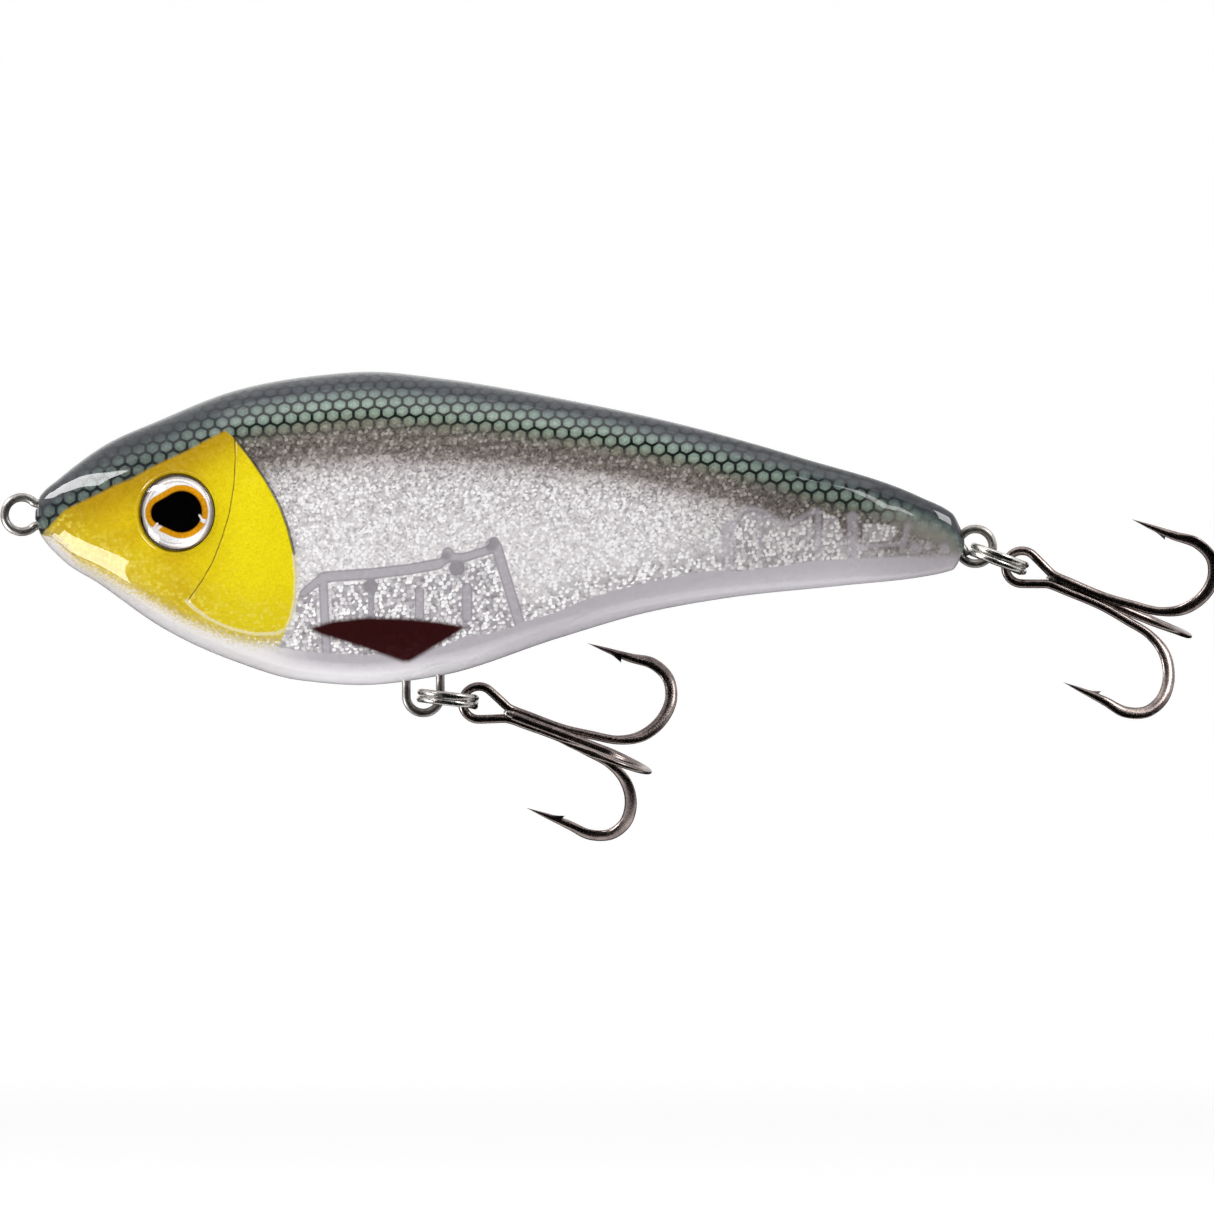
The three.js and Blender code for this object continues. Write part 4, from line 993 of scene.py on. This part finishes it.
def wireSizes(path, tips):
    # half sizes of the section: round on the shank, flattened by forging in the bend, tapered to each tip
    walked = np.concatenate([[0], np.cumsum(np.linalg.norm(np.diff(path, axis=0), axis=1))])
    fromTip = np.min([walked if end == 0 else walked[-1] - walked for end in tips], axis=0)
    forged = ease(fromTip, 5.0, 9.0) * (1 - ease(fromTip, 20.5, 25.5))
    taper = np.interp(fromTip, (0, 0.4, 2.2, 4.4, 5.6), (0.03, 0.1, 0.5, 0.86, 1.0))
    halfIn = (hooks["wire"] + (hooks["forgedIn"] - hooks["wire"]) * forged) * taper
    halfSide = (hooks["wire"] + (hooks["forgedSide"] - hooks["wire"]) * forged) * taper
    return fromTip, halfIn, halfSide


def barbs(fromTip, ends, path):
    # a sliver cut up from the inside of the point: it rises from the tip side and ends in a step
    def raised(tangent, inward, turn):
        start, length = hooks["barbBehind"] - hooks["barbLength"], hooks["barbLength"]
        rise = np.clip((fromTip - start) / length, 0, 1) ** 1.4 * (fromTip < start + length)
        toShank = unit(path * (1, 0, 0) - path)      # towards the shank's axis, level with the point
        facing = (inward[:, None] * np.cos(turn)[None, :, None])
        lobe = np.clip((facing * toShank[:, None]).sum(-1), 0, 1) ** 10
        back = tangent * np.sign((tangent * (path - ends)).sum(-1, keepdims=True))
        way = toShank[:, None] * hooks["barbHeight"] + back[:, None] * hooks["barbLean"]
        return (lobe * rise[:, None])[..., None] * way
    return raised


def makeTreble(which):
    hook = hooks[which]
    low, high = hook["doubleRolls"]
    radius = hooks["eyeRadius"]

    def leg(roll):
        shank = hookPoint(0, hooks["doubleOffset"], roll)
        rise = math.copysign(1, shank[2])
        turn = np.radians(np.linspace(rise * 66, rise * 180, 9))
        centre = radius + hooks["wire"]
        eyeEnds = [[centre + radius * math.cos(a), 0, radius * math.sin(a), 0, 1, 0] for a in turn]
        neck = [[7.6, shank[1] * 0.9, shank[2]] + squareTo(roll), [6.6, shank[1] * 0.5, rise * 0.72, 0, 1, 0],
                [5.2, 0, rise * 1.27, 0, 1, 0]]
        return neck + eyeEnds

    def makeWire(name, points, tips, replaces):
        both = smoothPath(points, 0.1)
        path, across = both[:, :3], unit(both[:, 3:])
        fromTip, halfIn, halfSide = wireSizes(path, tips)
        firstHalf = np.arange(len(path))[:, None] < len(path) / 2
        ends = np.where(firstHalf & (0 in tips), path[:1], path[-1:])
        skin = sweep(path, across, halfIn, halfSide, 20, barbs(fromTip, ends, path))
        makePiece(which + name, [(tilted(skin, hook["tilt"], hook["eyeFront"]), True)], blackNickel,
                  which + "_treble", [which + replaces], crease=45)

    lower = armPoints(low, hooks["doubleOffset"])[::-1] + leg(low)
    upper = leg(high)[:-1][::-1] + armPoints(high, hooks["doubleOffset"])
    makeWire("DoubleHook", lower + upper, (0, 1), "_double_hook")
    roll, offset = hook["singleRoll"], hooks["singleOffset"]
    foot = hookPoint(7.4, offset * 0.9, roll) + squareTo(roll)
    makeWire("SingleHook", [foot] + armPoints(roll, offset), (1,), "_single_hook")

    # solder run between the wires at the neck: a spindle, fat at the eye and drawn out along the shank
    along = np.linspace(*hooks["solder"], 60)
    fat = hooks["solderFat"] * np.sqrt(ease(along, 6.0, 6.8)) * (1 - 0.8 * ease(along, 7.0, 8.3))
    lumps = 1 + 0.08 * np.sin(along * 5.3)
    path = np.stack([along, along * 0 - 0.25, 0.05 * np.sin(along * 2)], -1)
    skin = sweep(path, np.tile([0.0, 1.0, 0.0], (60, 1)), fat * lumps, fat * lumps * 0.9, 16)
    makePiece(which + "Solder", [(tilted(skin, hook["tilt"], hook["eyeFront"]), True)], solder,
              which + "_treble")


makeTreble("belly")
makeTreble("tail")
hidden = {"head_weight": lead, "tail_weight_ball": ballSteel, "rattle_ball": ballSteel}
hidden.update({f"keel_weight_{i}": lead for i in (1, 2, 3, 4)})
for node, material in hidden.items():
    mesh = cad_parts[node].data
    mesh.materials.clear()
    mesh.materials.append(material)
print("metalwork made")


studio = {
    "frameWidth": 156.6, "frameCentre": (75.49, -11.93), "lens": 500.0, "sensor": 36.0,
    "floorZ": -100.0, "wallY": 3200.0, "wallHeight": 2400.0, "curveRadius": 1200.0, "reach": 3600.0,
    "halfLength": 36000.0, "worldStrength": 0.79,
}


def makeSweep():
    # a floor that curves up into a wall: straight, quarter circle, straight
    floorZ, wallY, radius = studio["floorZ"], studio["wallY"], studio["curveRadius"]
    turn = np.linspace(0, np.pi / 2, 40)
    y = np.concatenate([[-studio["reach"], wallY - radius], wallY - radius + radius * np.sin(turn)[1:], [wallY]])
    z = np.concatenate([[floorZ] * 2, floorZ + radius * (1 - np.cos(turn))[1:], [floorZ + studio["wallHeight"]]])
    x = np.array([-studio["halfLength"], studio["halfLength"]])
    material, tree = startMaterial("opalAcrylic")     # satin opal acrylic sheet, lit a little from behind
    endMaterial(tree, {"Base Color": speckled(tree, 800.0, "#f8f8f8", "#fbfbfb"), "Roughness": 0.9,
                       "Emission Color": "#ffffff", "Emission Strength": 0.2})
    floor = makeSheet("paperSweep", x, y, z, material)
    floor.data.polygons.foreach_set("use_smooth", np.ones(len(floor.data.polygons), bool))


def makeSheet(name, x, y, z, material):
    # a profile in y and z carried straight from one x to another
    grid = np.stack([np.tile(x[:, None], (1, len(y))), np.tile(y, (2, 1)), np.tile(z, (2, 1))], -1)
    mesh = bpy.data.meshes.new(name)
    mesh.from_pydata((grid.reshape(-1, 3) * mm).tolist(), [], gridQuads(2, len(y), False).tolist())
    mesh.materials.append(material)
    sheet = bpy.data.objects.new(name, mesh)
    bpy.context.scene.collection.objects.link(sheet)
    return sheet


def addSoftbox(name, azimuth, elevation, away, size, watts, aim=(60, 0, -3), roll=0.0, glint=False):
    # a rectangular light seen from the aim point at an azimuth from the camera's side and an elevation;
    # a glint is placed for its highlight, and lights nothing but the gloss
    a, e = math.radians(azimuth), math.radians(elevation)
    way = Vector((math.sin(a) * math.cos(e), -math.cos(a) * math.cos(e), math.sin(e)))
    data = bpy.data.lights.new(name, "AREA")
    data.shape, data.size, data.size_y, data.energy = "RECTANGLE", size[0] * mm, size[1] * mm, watts
    lamp = bpy.data.objects.new(name, data)
    lamp.location = (Vector(aim) + way * away) * mm
    lamp.rotation_euler = (way.to_track_quat("Z", "Y") @ Quaternion((0, 0, 1), math.radians(roll))).to_euler()
    lamp.visible_camera = False
    lamp.visible_diffuse = not glint
    lamp.visible_glossy = glint or name == "topBox"
    bpy.context.scene.collection.objects.link(lamp)


def addFlag(name, profile, left, right):
    # black velvet hung in front and behind, seen only in reflections, so the gloss stays clear on both sides
    material, tree = startMaterial("blackVelvet")
    endMaterial(tree, {"Base Color": speckled(tree, 400.0, "#020202", "#060606"), "Roughness": 1.0,
                       "Specular IOR Level": 0.0})
    flag = makeSheet(name, np.array([left, right]), *np.array(profile, float).T, material)
    flag.visible_camera = flag.visible_diffuse = flag.visible_shadow = flag.visible_transmission = False


makeSweep()
addFlag("frontFlag", [(-12, -92), (-500, -92), (-900, 0), (-900, 1500)], -2200, 1600)
addFlag("rearFlag", [(30, -92), (500, -92), (900, -10)], -2200, 1600)
addSoftbox("keyBox", -64, 41, 420, (330, 70), 0.7, aim=(9, -4, 4))
addSoftbox("topBox", 0, 80, 520, (500, 300), 0.35)
addSoftbox("noseGlint", -73.4, 36.8, 420, (400, 88), 1.3, aim=(9, -4, 4), roll=-3.5, glint=True)
addSoftbox("cheekGlint", -67.6, -30.2, 105, (64, 47), 0.09, aim=(8, -5, -5), roll=35, glint=True)
addSoftbox("tailGlint", 23, 35, 600, (13, 240), 0.06, aim=(108, -4, 2), roll=-13, glint=True)
addSoftbox("tipGlint", 56.3, 41.4, 300, (140, 96), 0.35, aim=(118, -4, 0), roll=51, glint=True)

world = bpy.data.worlds.new("studioWorld")
world.use_nodes = True
backdrop = world.node_tree.nodes["Background"].inputs
backdrop["Color"].default_value = hexColour("#ffffff")
backdrop["Strength"].default_value = studio["worldStrength"]
bpy.context.scene.world = world
bpy.context.scene.view_settings.view_transform = "Standard"

# long lens square to the left side
view = bpy.data.cameras.new("camera")
view.lens = studio["lens"]
view.sensor_width = studio["sensor"]
view.clip_start, view.clip_end = 0.01, 45.0
camera = bpy.data.objects.new("camera", view)
centreX, centreZ = studio["frameCentre"]
away = studio["lens"] / studio["sensor"] * studio["frameWidth"]
camera.location = (centreX * mm, -away * mm, centreZ * mm)
camera.rotation_euler = (math.pi / 2, 0, 0)
bpy.context.scene.collection.objects.link(camera)
bpy.context.scene.camera = camera
print("studio made")
